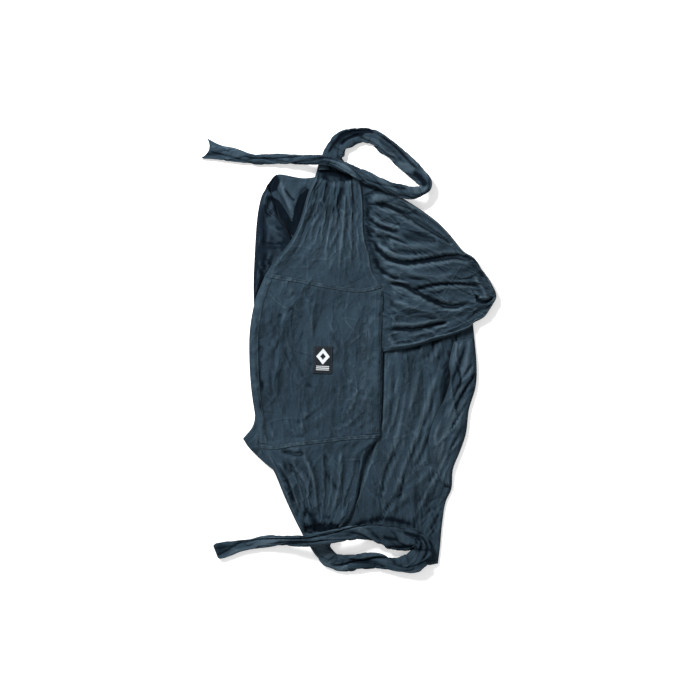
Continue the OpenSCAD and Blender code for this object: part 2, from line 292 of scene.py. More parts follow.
@dataclass(frozen=True)
class Fold:
    """One fold or valley along a line: a bell across the line, fading at both ends.

    Attributes:
        points: The line, in nominal millimetres.
        width: Half width of the bell, in millimetres.
        height: Height of the bell, in millimetres; a valley is negative.
        lean: How much steeper the left side of the run is than the right.
    """

    points: Points
    width: float
    height: float
    lean: float = 0.0

    def heights(self, x: np.ndarray, y: np.ndarray) -> np.ndarray:
        """Height that this fold adds.

        Args:
            x: Plan x of the samples, in metres.
            y: Plan y of the samples, in metres.

        Returns:
            The bell of the distance to the line, times the fade along it.
        """
        line = smooth_curve(plan(self.points), 5)
        a, b = line[:-1], line[1:]
        run = b - a
        length2 = np.maximum((run**2).sum(1), TINY)
        px = x.reshape(-1, 1) - a[:, 0]
        py = y.reshape(-1, 1) - a[:, 1]
        t = np.clip((px * run[:, 0] + py * run[:, 1]) / length2, 0, 1)
        dx, dy = px - t * run[:, 0], py - t * run[:, 1]
        gap2 = dx**2 + dy**2
        near = gap2.argmin(1)
        pick = (np.arange(len(near)), near)
        side = np.sign(run[near, 0] * py[pick] - run[near, 1] * px[pick])
        d = np.sqrt(gap2[pick]) * side / (self.width * MM)
        along = (near + t[pick]) / len(a)
        fade = ease(along / 0.22) * ease((1 - along) / 0.22)
        bell = np.exp(-np.abs(d) ** 1.6) * (1 + self.lean * np.tanh(d))
        return (self.height * MM * bell * fade).reshape(x.shape)


@dataclass(frozen=True)
class Shade:
    """A convex patch of painted shade on the cloth, with crisp sides.

    Attributes:
        corners: Its corners in order, in nominal millimetres.
        depth: How dark it is painted, as millimetres of depth.
        soft: Width of its sides, in millimetres.
    """

    corners: Points
    depth: float
    soft: float = 3.5

    def heights(self, x: np.ndarray, y: np.ndarray) -> np.ndarray:
        """Minus the depth inside the patch: the least distance inside any side, eased over soft.

        Args:
            x: Plan x.
            y: Plan y.

        Returns:
            The height at each point, in metres.
        """
        start = plan(self.corners)
        end = np.roll(start, -1, axis=0)
        turn = np.sign((start[:, 0] * end[:, 1] - start[:, 1] * end[:, 0]).sum())
        run = (end - start) / np.linalg.norm(end - start, axis=1, keepdims=True)
        out = run[:, 0] * (y[..., None] - start[:, 1]) - run[:, 1] * (x[..., None] - start[:, 0])
        inside = (turn * out).min(axis=-1)
        return -self.depth * MM * ease(inside / (self.soft * MM) + 0.5)


@dataclass(frozen=True)
class CreaseField:
    """Many short random creases over a region, as washed jersey keeps.

    Attributes:
        count: How many creases.
        angle: Their usual direction, in degrees from +X.
        spread: How far the direction varies, in degrees.
        length: Shortest and longest, in millimetres.
        width: Thinnest and widest half width, in millimetres.
        height: Height of the tallest, in millimetres.
        seed: Chooses the places.
    """

    count: int
    angle: float
    spread: float
    length: tuple[float, float]
    width: tuple[float, float]
    height: float
    seed: int

    def heights(self, x: np.ndarray, y: np.ndarray) -> np.ndarray:
        """Height that the creases add: each a leaning bell across its line, faded along it.

        Args:
            x: Plan x of the samples, in metres.
            y: Plan y of the samples, in metres.

        Returns:
            The sum over all creases.
        """
        rng = np.random.default_rng(self.seed)
        n = self.count
        cx = rng.uniform(x.min(), x.max(), n)
        cy = rng.uniform(y.min(), y.max(), n)
        turn = np.radians(self.angle + self.spread * rng.normal(0, 0.6, n))
        half = rng.uniform(*self.length, n) * MM / 2
        width = rng.uniform(*self.width, n) * MM
        tall = self.height * MM * rng.uniform(0.35, 1.0, n) * np.where(rng.random(n) < 0.3, -1, 1)
        bow = rng.uniform(-0.25, 0.25, n)
        total = np.zeros(x.size)
        for chunk in np.array_split(np.arange(n), max(1, n // 12)):
            px, py = x.reshape(-1, 1) - cx[chunk], y.reshape(-1, 1) - cy[chunk]
            along = (px * np.cos(turn[chunk]) + py * np.sin(turn[chunk])) / half[chunk]
            across = -px * np.sin(turn[chunk]) + py * np.cos(turn[chunk])
            across = (across - bow[chunk] * half[chunk] * along**2) / width[chunk]
            fade = np.exp(-(np.abs(along) ** 3))
            bell = np.exp(-np.abs(across) ** 1.5) + 0.5 * np.tanh(across) * np.exp(-(across**2) / 6)
            total += (tall[chunk] * bell * fade).sum(1)
        return total.reshape(x.shape)


def heights_of(
    shapes: Sequence[Fold | Shade | CreaseField], x: np.ndarray, y: np.ndarray
) -> np.ndarray:
    """Height that all the shapes add together."""
    return sum(shape.heights(x, y) for shape in shapes)


def gathers(u: np.ndarray, v: np.ndarray, count: float, depth: np.ndarray, seed: int) -> np.ndarray:
    """Folds that run along v, rounded on top with narrow valleys.

    The height is depth times the square root of the sine of a phase that grows with u and wanders
    along v.

    Args:
        u: Position across the folds, 0 to 1.
        v: Position along the folds, 0 to 1.
        count: Folds from u = 0 to u = 1.
        depth: Height of the folds at each sample.
        seed: Chooses how the folds wander.

    Returns:
        The height at each sample.
    """
    wander = 0.35 * value_noise(u * 3, v * 4, 1.0, seed) + 0.22 * value_noise(u * 9, v * 3, 1.0, seed + 1)
    phase = math.pi * (count * u + wander * 2.2)
    strength = 0.65 + 0.35 * value_noise(u * count * 0.5, v * 2.5, 1.0, seed + 2)
    return depth * strength * np.abs(np.sin(phase)) ** 0.75


def steps_to_rim(rows: int, columns: int) -> np.ndarray:
    """Steps from each point of a grid to the nearest side."""
    i = np.minimum(np.arange(rows), np.arange(rows)[::-1])[:, None]
    j = np.minimum(np.arange(columns), np.arange(columns)[::-1])[None, :]
    return np.minimum(i, j)


def edge_fall(rows: int, columns: int, spacing: float, radius: float) -> np.ndarray:
    """How full the cloth stands near its edges: 0 on the rim, 1 from radius inwards.

    Args:
        rows: Rows of the grid.
        columns: Columns of the grid.
        spacing: Distance between grid points.
        radius: Width of the rounded rim.

    Returns:
        A grid of quarter-circle profiles of the distance to the nearest side.
    """
    t = np.clip(steps_to_rim(rows, columns) * spacing / radius, 0, 1)
    return np.sqrt(1 - (1 - t) ** 2)


# ---------------------------------------------------------------------------------------------
# Finishes
# ---------------------------------------------------------------------------------------------


class NodeBook:
    """A new material's node tree, with short ways to add nodes to it."""

    def __init__(self, name: str) -> None:
        """Start an empty material called name."""
        self.material = bpy.data.materials.new(name)
        self.material.use_nodes = True
        self.tree = self.material.node_tree
        self.tree.nodes.clear()
        self.output = self.add("ShaderNodeOutputMaterial")
        self.shader = self.add("ShaderNodeBsdfPrincipled")
        self.join(self.shader, "BSDF", self.output, "Surface")

    def add(self, kind: str, **values: object) -> bpy.types.Node:
        """Add a node.

        Args:
            kind: The node's type.
            values: Values for its inputs where an input has that name, else for its properties;
                an underscore in a name stands for a space.

        Returns:
            The node.
        """
        node = self.tree.nodes.new(kind)
        for key, value in values.items():
            label = key.replace("_", " ")
            if label in node.inputs:
                node.inputs[label].default_value = value
            else:
                setattr(node, key, value)
        return node

    def join(self, a: bpy.types.Node, out: str | int, b: bpy.types.Node, into: str | int) -> None:
        """Link output out of a to input into of b."""
        self.tree.links.new(a.outputs[out], b.inputs[into])

    def ramp(
        self, source: bpy.types.Node, out: str | int, stops: Sequence[tuple[float, Colour]]
    ) -> bpy.types.Node:
        """Colour a value.

        Args:
            source: The node that gives the value.
            out: Its output.
            stops: Places and colours, in order.

        Returns:
            The ramp.
        """
        node = self.tree.nodes.new("ShaderNodeValToRGB")
        band = node.color_ramp
        while len(band.elements) < len(stops):
            band.elements.new(0.5)
        for element, (place, colour) in zip(band.elements, stops):
            element.position = place
            element.color = (*colour, 1.0)
        self.join(source, out, node, "Fac")
        return node

    def mixed(
        self, kind: str, factor: float, a: bpy.types.Node, out: str | int, b: bpy.types.Node
    ) -> bpy.types.Node:
        """Mix two colours.

        Args:
            kind: The kind of blend.
            factor: How much of the second colour is blended in.
            a: The node that gives the first colour.
            out: Its output.
            b: The node that gives the second colour, by its Color output.

        Returns:
            The mix, whose colour is its output MIXED.
        """
        node = self.add("ShaderNodeMix", data_type="RGBA", blend_type=kind)
        node.inputs[0].default_value = factor
        self.join(a, out, node, 6)
        self.join(b, "Color", node, 7)
        return node

    def bump(
        self, source: bpy.types.Node, out: str | int, strength: float, distance: float,
        below: bpy.types.Node | None = None,
    ) -> bpy.types.Node:
        """Turn a value into a bump.

        Args:
            source: The node that gives the height.
            out: Its output.
            strength: Of the bump.
            distance: Height that a value of 1 stands for, in metres.
            below: The bump that this one is laid over.

        Returns:
            The bump, for the shader's normal.
        """
        node = self.add("ShaderNodeBump", Strength=strength, Distance=distance)
        self.join(source, out, node, "Height")
        if below is not None:
            self.join(below, "Normal", node, "Normal")
        return node

    def finish(self, **values: object) -> bpy.types.Material:
        """Set the shader's inputs, whose names have underscores for spaces, and give the material."""
        for key, value in values.items():
            self.shader.inputs[key.replace("_", " ")].default_value = value
        return self.material


@dataclass(frozen=True)
class Jersey:
    """Washed, matte cotton jersey.

    Attributes:
        name: The material's name.
        valley: Painted shade colour, in the folds.
        middle: Colour of the flat cloth.
        crest_wear_and_highlight: Colour of the crests, partly worn dye and partly painted highlight.
        rib: Distance between two columns of stitches, in metres.
        broad: Broad facets: how many for each metre across and along, and their angle in degrees.
        fine: Fine facets, likewise.
    """

    name: str
    valley: Colour = (0.0016, 0.0042, 0.0080)
    middle: Colour = (0.0186, 0.0334, 0.0478)
    crest_wear_and_highlight: Colour = (0.0460, 0.0715, 0.0935)
    rib: float = 0.0011
    broad: tuple[tuple[float, float], float] = ((21.0, 8.0), 8.0)
    fine: tuple[tuple[float, float], float] = ((56.0, 26.0), -14.0)

    def material(self) -> bpy.types.Material:
        """Build the material.

        Returns:
            Cloth coloured by the relief attribute, as painted shade in the valleys and painted
            highlight on the crests, with a lighter line and painted shade along the facets' creases,
            clouded by washing, with knit columns and fine crinkles in its bump.
        """
        book = NodeBook(self.name)
        # The relief attribute picks painted shade for the valleys and painted highlight, partly worn dye,
        # for the crests.
        relief_shading = book.add("ShaderNodeAttribute", attribute_name="relief_shading")
        tone = book.ramp(relief_shading, "Fac", [
            (0.0, self.valley), (0.44, self.middle), (0.58, self.middle), (1.0, self.crest_wear_and_highlight)])
        place = book.add("ShaderNodeTexCoord")
        cloud = book.add("ShaderNodeTexNoise", Scale=16.0, Detail=6.0, Roughness=0.62)
        book.join(place, "Object", cloud, "Vector")
        wash = book.ramp(cloud, "Fac", [(0.3, grey(0.80)), (0.7, (1.16, 1.15, 1.14))])
        washed = book.mixed("MULTIPLY", 1.0, tone, "Color", wash)
        lint = book.add("ShaderNodeTexNoise", Scale=420.0, Detail=3.0, Roughness=0.7)
        book.join(place, "Object", lint, "Vector")
        fleck = book.ramp(lint, "Fac", [(0.35, grey(0.82)), (0.72, grey(1.20))])
        flecked = book.mixed("MULTIPLY", 0.8, washed, MIXED, fleck)
        # Along the facets' crease lines: a lighter line, partly worn dye and partly painted highlight, with
        # a thin band of painted shade beside it.
        borders = self.facets(book, place, "DISTANCE_TO_EDGE", *self.broad)
        crease_wear_and_highlight = book.ramp(borders, "Distance", [
            (0.0, (1.24, 1.23, 1.22)), (0.03, grey(1.0)), (0.06, grey(0.93)), (0.12, grey(1.0))])
        creased = book.mixed("MULTIPLY", 1.0, flecked, MIXED, crease_wear_and_highlight)
        book.join(creased, MIXED, book.shader, "Base Color")
        self.bumps(book, place)
        return book.finish(
            Roughness=0.88, Specular_IOR_Level=0.03, Sheen_Weight=0.03, Sheen_Roughness=0.55,
            Sheen_Tint=(0.62, 0.72, 0.80, 1.0))

    def bumps(self, book: NodeBook, place: bpy.types.Node) -> None:
        """Add the knit's columns and rows, the crinkles and both sizes of facet to the normal.

        Args:
            book: The material being built.
            place: Its texture coordinates.
        """
        knit_map = book.add("ShaderNodeMapping", Scale=(1 / self.rib, 1.35 / self.rib, 1.0))
        book.join(place, "UV", knit_map, "Vector")
        columns, rows = (
            book.add("ShaderNodeTexWave", Scale=0.318, Distortion=bend, Detail=1.0, bands_direction=way)
            for bend, way in ((1.1, "X"), (1.6, "Y")))
        book.join(knit_map, "Vector", columns, "Vector")
        book.join(knit_map, "Vector", rows, "Vector")
        knit = book.mixed("MULTIPLY", 0.6, columns, "Color", rows)
        crinkle = book.add("ShaderNodeTexNoise", Scale=85.0, Detail=5.0, Roughness=0.6, Distortion=0.5)
        book.join(place, "Object", crinkle, "Vector")
        broad = self.facets(book, place, "F1", *self.broad)
        fine = self.facets(book, place, "F1", *self.fine)
        last = None
        for source, out, strength, distance in (
            (knit, MIXED, 0.35, 0.0003), (crinkle, "Fac", 0.6, 0.0026),
            (broad, "Distance", 1.0, 0.0105), (fine, "Distance", 1.0, 0.0036),
        ):
            last = book.bump(source, out, strength, distance, last)
        book.join(last, "Normal", book.shader, "Normal")

    @staticmethod
    def facets(
        book: NodeBook, place: bpy.types.Node, feature: str, scale: tuple[float, float], turn: float
    ) -> bpy.types.Node:
        """Divide the cloth into long slack facets that meet in crisp straight creases.

        Args:
            book: The material being built.
            place: Its texture coordinates; the facets are long in V.
            feature: What is measured: to a facet's own middle, or to its border.
            scale: Facets for each metre across and along.
            turn: Angle of the facets, in degrees.

        Returns:
            The cell texture, whose distance rises from each middle to sharp ridges at the borders.
        """
        turned = book.add(
            "ShaderNodeMapping", Rotation=(0.0, 0.0, math.radians(turn)), Scale=(*scale, 1.0))
        book.join(place, "UV", turned, "Vector")
        sway = book.add("ShaderNodeTexNoise", Scale=1.3, Detail=3.0, Roughness=0.6)
        book.join(turned, "Vector", sway, "Vector")
        swayed = book.mixed("LINEAR_LIGHT", 0.22, turned, "Vector", sway)
        cells = book.add("ShaderNodeTexVoronoi", Scale=1.0, feature=feature)
        book.join(swayed, MIXED, cells, "Vector")
        return cells


@dataclass(frozen=True)
class Thread:
    """Twisted polyester sewing thread, a little shinier than the cloth."""

    name: str = "sewing_thread"
    dark: Colour = (0.014, 0.025, 0.036)
    light: Colour = (0.038, 0.060, 0.078)

    def material(self) -> bpy.types.Material:
        """Build the material: a fine twist that bands its colour and bump."""
        book = NodeBook(self.name)
        place = book.add("ShaderNodeTexCoord")
        twist = book.add(
            "ShaderNodeTexWave", Scale=520.0, Distortion=2.0, Detail=1.0, bands_direction="DIAGONAL")
        book.join(place, "Object", twist, "Vector")
        tone = book.ramp(twist, "Fac", [(0.1, self.dark), (0.9, self.light)])
        book.join(tone, "Color", book.shader, "Base Color")
        book.join(book.bump(twist, "Fac", 0.5, 0.0002), "Normal", book.shader, "Normal")
        return book.finish(Roughness=0.55, Sheen_Weight=0.1)


@dataclass(frozen=True)
class WovenLabel:
    """Damask label: charcoal ground with pale woven bars, no lettering."""

    name: str = "woven_label"
    ground: Colour = (0.0075, 0.0115, 0.0155)
    pale: Colour = (0.62, 0.66, 0.68)

    def material(self) -> bpy.types.Material:
        """Build the material: the pale attribute picks the yarn, and a fine rep weaves both."""
        book = NodeBook(self.name)
        pale = book.add("ShaderNodeAttribute", attribute_name="pale")
        tone = book.ramp(pale, "Fac", [(0.42, self.ground), (0.58, self.pale)])
        place = book.add("ShaderNodeTexCoord")
        weave = book.add(
            "ShaderNodeTexWave", Scale=650.0, Distortion=0.6, Detail=1.0, bands_direction="Y")
        book.join(place, "Object", weave, "Vector")
        shade = book.ramp(weave, "Fac", [(0.0, grey(0.78)), (1.0, grey(1.08))])
        woven = book.mixed("MULTIPLY", 1.0, tone, "Color", shade)
        book.join(woven, MIXED, book.shader, "Base Color")
        book.join(book.bump(weave, "Fac", 0.4, 0.0002), "Normal", book.shader, "Normal")
        return book.finish(Roughness=0.75, Specular_IOR_Level=0.15)


@dataclass(frozen=True)
class PaperFloor:
    """Matte white studio paper."""

    name: str = "floor_paper"
    colour: Colour = grey(0.93)

    def material(self) -> bpy.types.Material:
        """Build the material: pale paper with a faint grain, which glows a little of its own."""
        book = NodeBook(self.name)
        place = book.add("ShaderNodeTexCoord")
        grain = book.add("ShaderNodeTexNoise", Scale=300.0, Detail=2.0)
        book.join(place, "Object", grain, "Vector")
        pale = tuple(min(1.0, c * 1.03) for c in self.colour)
        tone = book.ramp(grain, "Fac", [(0.3, self.colour), (0.7, pale)])
        book.join(tone, "Color", book.shader, "Base Color")
        return book.finish(
            Roughness=0.95, Specular_IOR_Level=0.1, Emission_Color=(1.0, 1.0, 1.0, 1.0),
            Emission_Strength=0.42)


class Wardrobe:
    """The finishes, each built once and shared."""

    def __init__(self) -> None:
        """Build every finish."""
        self.jersey = Jersey("jersey").material()
        # A darker copy of the jersey, as painted shade, for the under layers, the pocket's back and the
        # folded end.
        self.inside = Jersey(
            "jersey_inside", valley=(0.0008, 0.0022, 0.0046), middle=(0.0040, 0.0090, 0.0152),
            crest_wear_and_highlight=(0.0180, 0.0315, 0.0450)).material()
        self.hem = Jersey(
            "jersey_hem", valley=(0.0024, 0.0056, 0.0098), middle=(0.0165, 0.0310, 0.0450),
            crest_wear_and_highlight=(0.0380, 0.0620, 0.0820)).material()
        self.thread = Thread().material()
        self.label = WovenLabel().material()
        self.floor = PaperFloor().material()


# ---------------------------------------------------------------------------------------------
# Cloth
# ---------------------------------------------------------------------------------------------


# The relief paints shade into the jersey's valleys and a highlight onto its crests.
def relief_of(z: np.ndarray, depth: float, passes: int = 14) -> np.ndarray:
    """How far a grid stands above its own average, as 0 in valleys to 1 on crests.

    Args:
        z: Heights.
        depth: The difference from the broad average that reaches 0 or 1.
        passes: How wide the broad average is; the narrow one takes 2 passes and a quarter of depth.

    Returns:
        Half, plus the mean of both differences over twice their depths, kept from 0 to 1.
    """
    broad = (z - blurred(z, passes)) / (2 * depth)
    fine = (z - blurred(z, 2)) / (0.5 * depth)
    inside = edge_fall(*z.shape, 1.0, 7.0) ** 3
    return np.clip(0.5 + (0.6 * broad + 0.5 * fine) * inside, 0, 1)


def grid_faces(rows: int, columns: int, start: int = 0, flip: bool = False) -> np.ndarray:
    """Quads of a grid whose points are numbered row by row from start."""
    i = np.arange(rows * columns).reshape(rows, columns) + start
    quads = np.stack([i[:-1, :-1], i[1:, :-1], i[1:, 1:], i[:-1, 1:]], axis=-1).reshape(-1, 4)
    return quads[:, ::-1] if flip else quads


def rim_faces(rows: int, columns: int, offset: int) -> np.ndarray:
    """Quads between the rim of a grid and the rim of its copy, numbered offset higher."""
    i = np.arange(rows * columns).reshape(rows, columns)
    loop = np.concatenate([i[0, :-1], i[:-1, -1], i[-1, :0:-1], i[:0:-1, 0]])
    after = np.roll(loop, -1)
    return np.stack([loop, after, after + offset, loop + offset], axis=-1)


def new_piece(
    name: str,
    points: np.ndarray,
    faces: np.ndarray,
    finish: bpy.types.Material,
    uv: np.ndarray | None = None,
    values: dict[str, np.ndarray] | None = None,
) -> bpy.types.Object:
    """Make an object from arrays, at the origin.

    Args:
        name: The piece's name.
        points: Its vertices.
        faces: Its quads.
        finish: Its material.
        uv: A pair for each vertex.
        values: Named numbers, one for each vertex.

    Returns:
        The object, linked to the scene and shaded smooth.
    """
    mesh = bpy.data.meshes.new(name)
    mesh.vertices.add(len(points))
    mesh.vertices.foreach_set("co", points.astype(np.float32).ravel())
    mesh.loops.add(faces.size)
    mesh.loops.foreach_set("vertex_index", faces.astype(np.int32).ravel())
    mesh.polygons.add(len(faces))
    mesh.polygons.foreach_set("loop_start", np.arange(0, faces.size, faces.shape[1], dtype=np.int32))
    mesh.update(calc_edges=True)
    if uv is not None:
        layer = mesh.uv_layers.new(name="UVMap")
        layer.data.foreach_set("uv", uv[faces.ravel()].astype(np.float32).ravel())
    for key, numbers in (values or {}).items():
        attribute = mesh.attributes.new(key, "FLOAT", "POINT")
        attribute.data.foreach_set("value", numbers.astype(np.float32).ravel())
    mesh.polygons.foreach_set("use_smooth", np.ones(len(faces), dtype=bool))
    mesh.materials.append(finish)
    mesh.validate()
    piece = bpy.data.objects.new(name, mesh)
    bpy.context.scene.collection.objects.link(piece)
    return piece


@dataclass
class Cloth:
    """A sheet of cloth: a grid of points, its relief, and whether its creases run across the grid."""

    grid: np.ndarray
    # The relief is painted shade in the valleys and painted highlight on the crests.
    relief_shading: np.ndarray | None = None
    turned: bool = False

    @property
    def x(self) -> np.ndarray:
        """Plan x of the grid."""
        return self.grid[..., 0]

    @property
    def y(self) -> np.ndarray:
        """Plan y of the grid."""
        return self.grid[..., 1]

    @property
    def z(self) -> np.ndarray:
        """Height of the grid."""
        return self.grid[..., 2]

    def uv(self) -> np.ndarray:
        """Pattern coordinates in metres: the run across and the run down the sheet."""
        g = self.grid
        du = np.linalg.norm(np.diff(g, axis=1), axis=2).mean(0)
        dv = np.linalg.norm(np.diff(g, axis=0), axis=2).mean(1)
        u, v = (np.concatenate([[0.0], np.cumsum(steps)]) for steps in (du, dv))
        return np.stack(np.meshgrid(u, v)[:: -1 if self.turned else 1], axis=-1)

    def paint_shading(self, painted_shading: Sequence[Fold | Shade]) -> None:
        """Paint shade and light: each shape changes the relief by a tenth for each millimetre of its height.
        """
        change = heights_of(painted_shading, self.x, self.y) / MM
        self.relief_shading = np.clip(self.relief_shading + 0.1 * change, 0, 1)

    def sample(self, rows: np.ndarray, columns: np.ndarray) -> np.ndarray:
        """Points of the sheet at fractional rows and columns, blended from the four nearest."""
        top, left = self.grid.shape[0] - 2, self.grid.shape[1] - 2
        i = np.clip(np.floor(rows).astype(int), 0, top)
        j = np.clip(np.floor(columns).astype(int), 0, left)
        fi, fj = (rows - i)[..., None], (columns - j)[..., None]
        g = self.grid
        upper = g[i, j] * (1 - fj) + g[i, j + 1] * fj
        lower = g[i + 1, j] * (1 - fj) + g[i + 1, j + 1] * fj
        return upper * (1 - fi) + lower * fi

    def piece(
        self, name: str, finish: bpy.types.Material, thickness: float = 0.0012
    ) -> bpy.types.Object:
        """Make the sheet a closed shell.

        Args:
            name: The piece's name.
            finish: Its material.
            thickness: Of the cloth.

        Returns:
            The object: the grid on top, its copy one thickness below, and a rim between them.
        """
        g = self.grid
        rows, columns = g.shape[:2]
        below = g - normals_of(g) * thickness
        points = np.concatenate([g.reshape(-1, 3), below.reshape(-1, 3)])
        count = rows * columns
        du, dv = g[0, 1] - g[0, 0], g[1, 0] - g[0, 0]
        mirrored = bool(np.cross(dv, du)[2] < 0)
        faces = np.concatenate([
            grid_faces(rows, columns),
            grid_faces(rows, columns, count, flip=True),
            rim_faces(rows, columns, count),
        ])
        if mirrored:
            faces = faces[:, ::-1]
        relief_shading = self.relief_shading if self.relief_shading is not None else np.full((rows, columns), 0.5)
        uv = np.tile(self.uv().reshape(-1, 2), (2, 1))
        made = new_piece(name, points, faces, finish, uv, {"relief_shading": np.tile(relief_shading.ravel(), 2)})
        smooth = np.arange(len(faces)) < 2 * (rows - 1) * (columns - 1)
        made.data.polygons.foreach_set("use_smooth", smooth)
        return made

    def laid(
        self, node: str, finish: bpy.types.Material, body: Body, thickness: float = 0.0012
    ) -> bpy.types.Object:
        """Make the sheet a closed shell that stands for a CAD node and rides on a body."""
        return ride(self.piece(f"{node}_cloth", finish, thickness), body, node)


def settle(
    grid: np.ndarray, floor: float, grow: float, lie: float, frames: int, cap: float, pins: np.ndarray
) -> np.ndarray:
    """Let a sheet that is cut too wide for its outline buckle into folds that lie one way.

    The cut shape is the grid stretched by grow, square to the folds, about its own middle.

    Args:
        grid: The sheet before it settles.
        floor: Height of the surface under it.
        grow: Share by which the cloth is cut wider than the grid.
        lie: Direction in which the folds run, in degrees from +X.
        frames: Steps of the simulation.
        cap: Furthest that a point may move.
        pins: How firmly each point is held, 0 to 1.
    """
    rows, columns = grid.shape[:2]
    cloth = new_piece("settling", grid.reshape(-1, 3), grid_faces(rows, columns), bpy.data.materials[0])
    side = 2.0
    corners = np.array([[-side, -side], [side, -side], [side, side], [-side, side]])
    table = new_piece(
        "settling_table", np.column_stack([corners, np.full(4, floor)]),
        np.array([[0, 1, 2, 3]]), bpy.data.materials[0])
    table.modifiers.new("hard", "COLLISION")
    table.collision.thickness_outer = 0.001
    table.collision.cloth_friction = 20.0
    group = cloth.vertex_groups.new(name="pins")
    levels = np.round(pins.ravel() * 10).astype(int)
    for level in np.unique(levels[levels > 0]):
        group.add([int(k) for k in np.flatnonzero(levels == level)], level / 10, "REPLACE")
    modifier = cloth.modifiers.new("cloth", "CLOTH")
    settings = modifier.settings
    settings.quality = 6
    settings.mass = 0.12
    settings.air_damping = 3.0
    settings.bending_model = "ANGULAR"
    settings.tension_stiffness = 18.0
    settings.compression_stiffness = 18.0
    settings.shear_stiffness = 6.0
    settings.bending_stiffness = 2.2
    settings.tension_damping = 12.0
    settings.compression_damping = 12.0
    settings.bending_damping = 0.6
    cloth.shape_key_add(name="laid")
    cut = cloth.shape_key_add(name="cut")
    square = np.array([-math.sin(math.radians(lie)), math.cos(math.radians(lie)), 0.0])
    reach = (grid - grid.mean((0, 1))) @ square
    cut.data.foreach_set("co", (grid + grow * reach[..., None] * square).astype(np.float32).ravel())
    cut.value = 0.0
    settings.rest_shape_key = cut
    settings.vertex_group_mass = "pins"
    settings.effector_weights.gravity = 0.35
    modifier.collision_settings.distance_min = 0.001
    modifier.collision_settings.use_self_collision = False
    modifier.point_cache.frame_start = 1
    modifier.point_cache.frame_end = frames
    scene = bpy.context.scene
    for step in range(1, frames + 1):
        scene.frame_set(step)
    shown = cloth.evaluated_get(bpy.context.evaluated_depsgraph_get())
    flat = np.empty(rows * columns * 3, np.float32)
    shown.data.vertices.foreach_get("co", flat)
    moved = flat.reshape(rows, columns, 3).astype(float) - grid
    far = np.linalg.norm(moved, axis=2, keepdims=True)
    moved *= np.minimum(1.0, cap / np.maximum(far, 1e-9))
    for thing in (cloth, table):
        mesh = thing.data
        bpy.data.objects.remove(thing)
        bpy.data.meshes.remove(mesh)
    scene.frame_set(1)
    settled = grid + moved
    settled[..., 2] = np.maximum(settled[..., 2], floor + 0.0005)
    return settled


# ---------------------------------------------------------------------------------------------
# The carrier's own pieces
# ---------------------------------------------------------------------------------------------


def layer_top(node: str) -> float:
    """Height of the top of a CAD node."""
    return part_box(node)[1][2]


def layer_floor(node: str) -> float:
    """Height of the bottom of a CAD node."""
    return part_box(node)[0][2]


def patch(
    left: Points, right: Points, top: Points, bottom: Points, spacing: float
) -> tuple[np.ndarray, int, int]:
    """Lay a grid over the region between four nominal edges.

    Args:
        left: Points down the left edge.
        right: Points down the right edge.
        top: Points along the top edge.
        bottom: Points along the bottom edge.
        spacing: Rough distance between grid points.

    Returns:
        The plan grid, its rows and its columns.
    """
    edges = [plan(e) for e in (left, right, top, bottom)]
    runs = [np.linalg.norm(np.diff(e[:, :2], axis=0), axis=1).sum() for e in edges]
    nv = max(6, round(max(runs[0], runs[1]) / spacing))
    nu = max(6, round(max(runs[2], runs[3]) / spacing))
    return span_surface(*edges, nu, nv), nv, nu


def with_height(xy: np.ndarray, z: np.ndarray | float) -> np.ndarray:
    """Join a plan grid and its heights."""
    return np.concatenate([xy, np.broadcast_to(z, xy.shape[:2])[..., None]], axis=2)


def rim_pins(rows: int, columns: int) -> np.ndarray:
    """Hold a grid at its rim alone."""
    return np.clip(1.0 - steps_to_rim(rows, columns), 0, 1)


def fill_slot(piece: bpy.types.Object, *nodes: str) -> None:
    """Let a piece stand for CAD nodes by hiding the nodes."""
    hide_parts(*nodes)


def ride(piece: bpy.types.Object, body: Body, *nodes: str) -> bpy.types.Object:
    """Put a piece on a body, in place of CAD nodes."""
    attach(piece, body.value)
    fill_slot(piece, *nodes)
    LOG.info("%s rides on %s", piece.name, body.value)
    return piece


def raised_strip(cloth: Cloth, rows: np.ndarray, columns: np.ndarray, lift: float) -> Cloth:
    """A narrow layer that lies on a sheet, such as a hem or a felled seam.

    It samples the sheet at the given rows and columns, and stands proud of it by lift times the
    quarter-circle of its own edges, which dip just under the sheet.

    Args:
        cloth: The sheet under it.
        rows: Fractional rows, as a grid.
        columns: Fractional columns, as a grid.
        lift: Height above the sheet.

    Returns:
        The strip as cloth of its own.
    """
    g = cloth.sample(rows, columns)
    crown = edge_fall(*g.shape[:2], 1.0, 2.0)
    g[..., 2] += lift * (1.25 * crown - 0.25)
    # Its relief paints shade along the strip's edges and a highlight on its crown.
    return Cloth(g, np.clip(0.38 + 0.3 * crown, 0, 1))


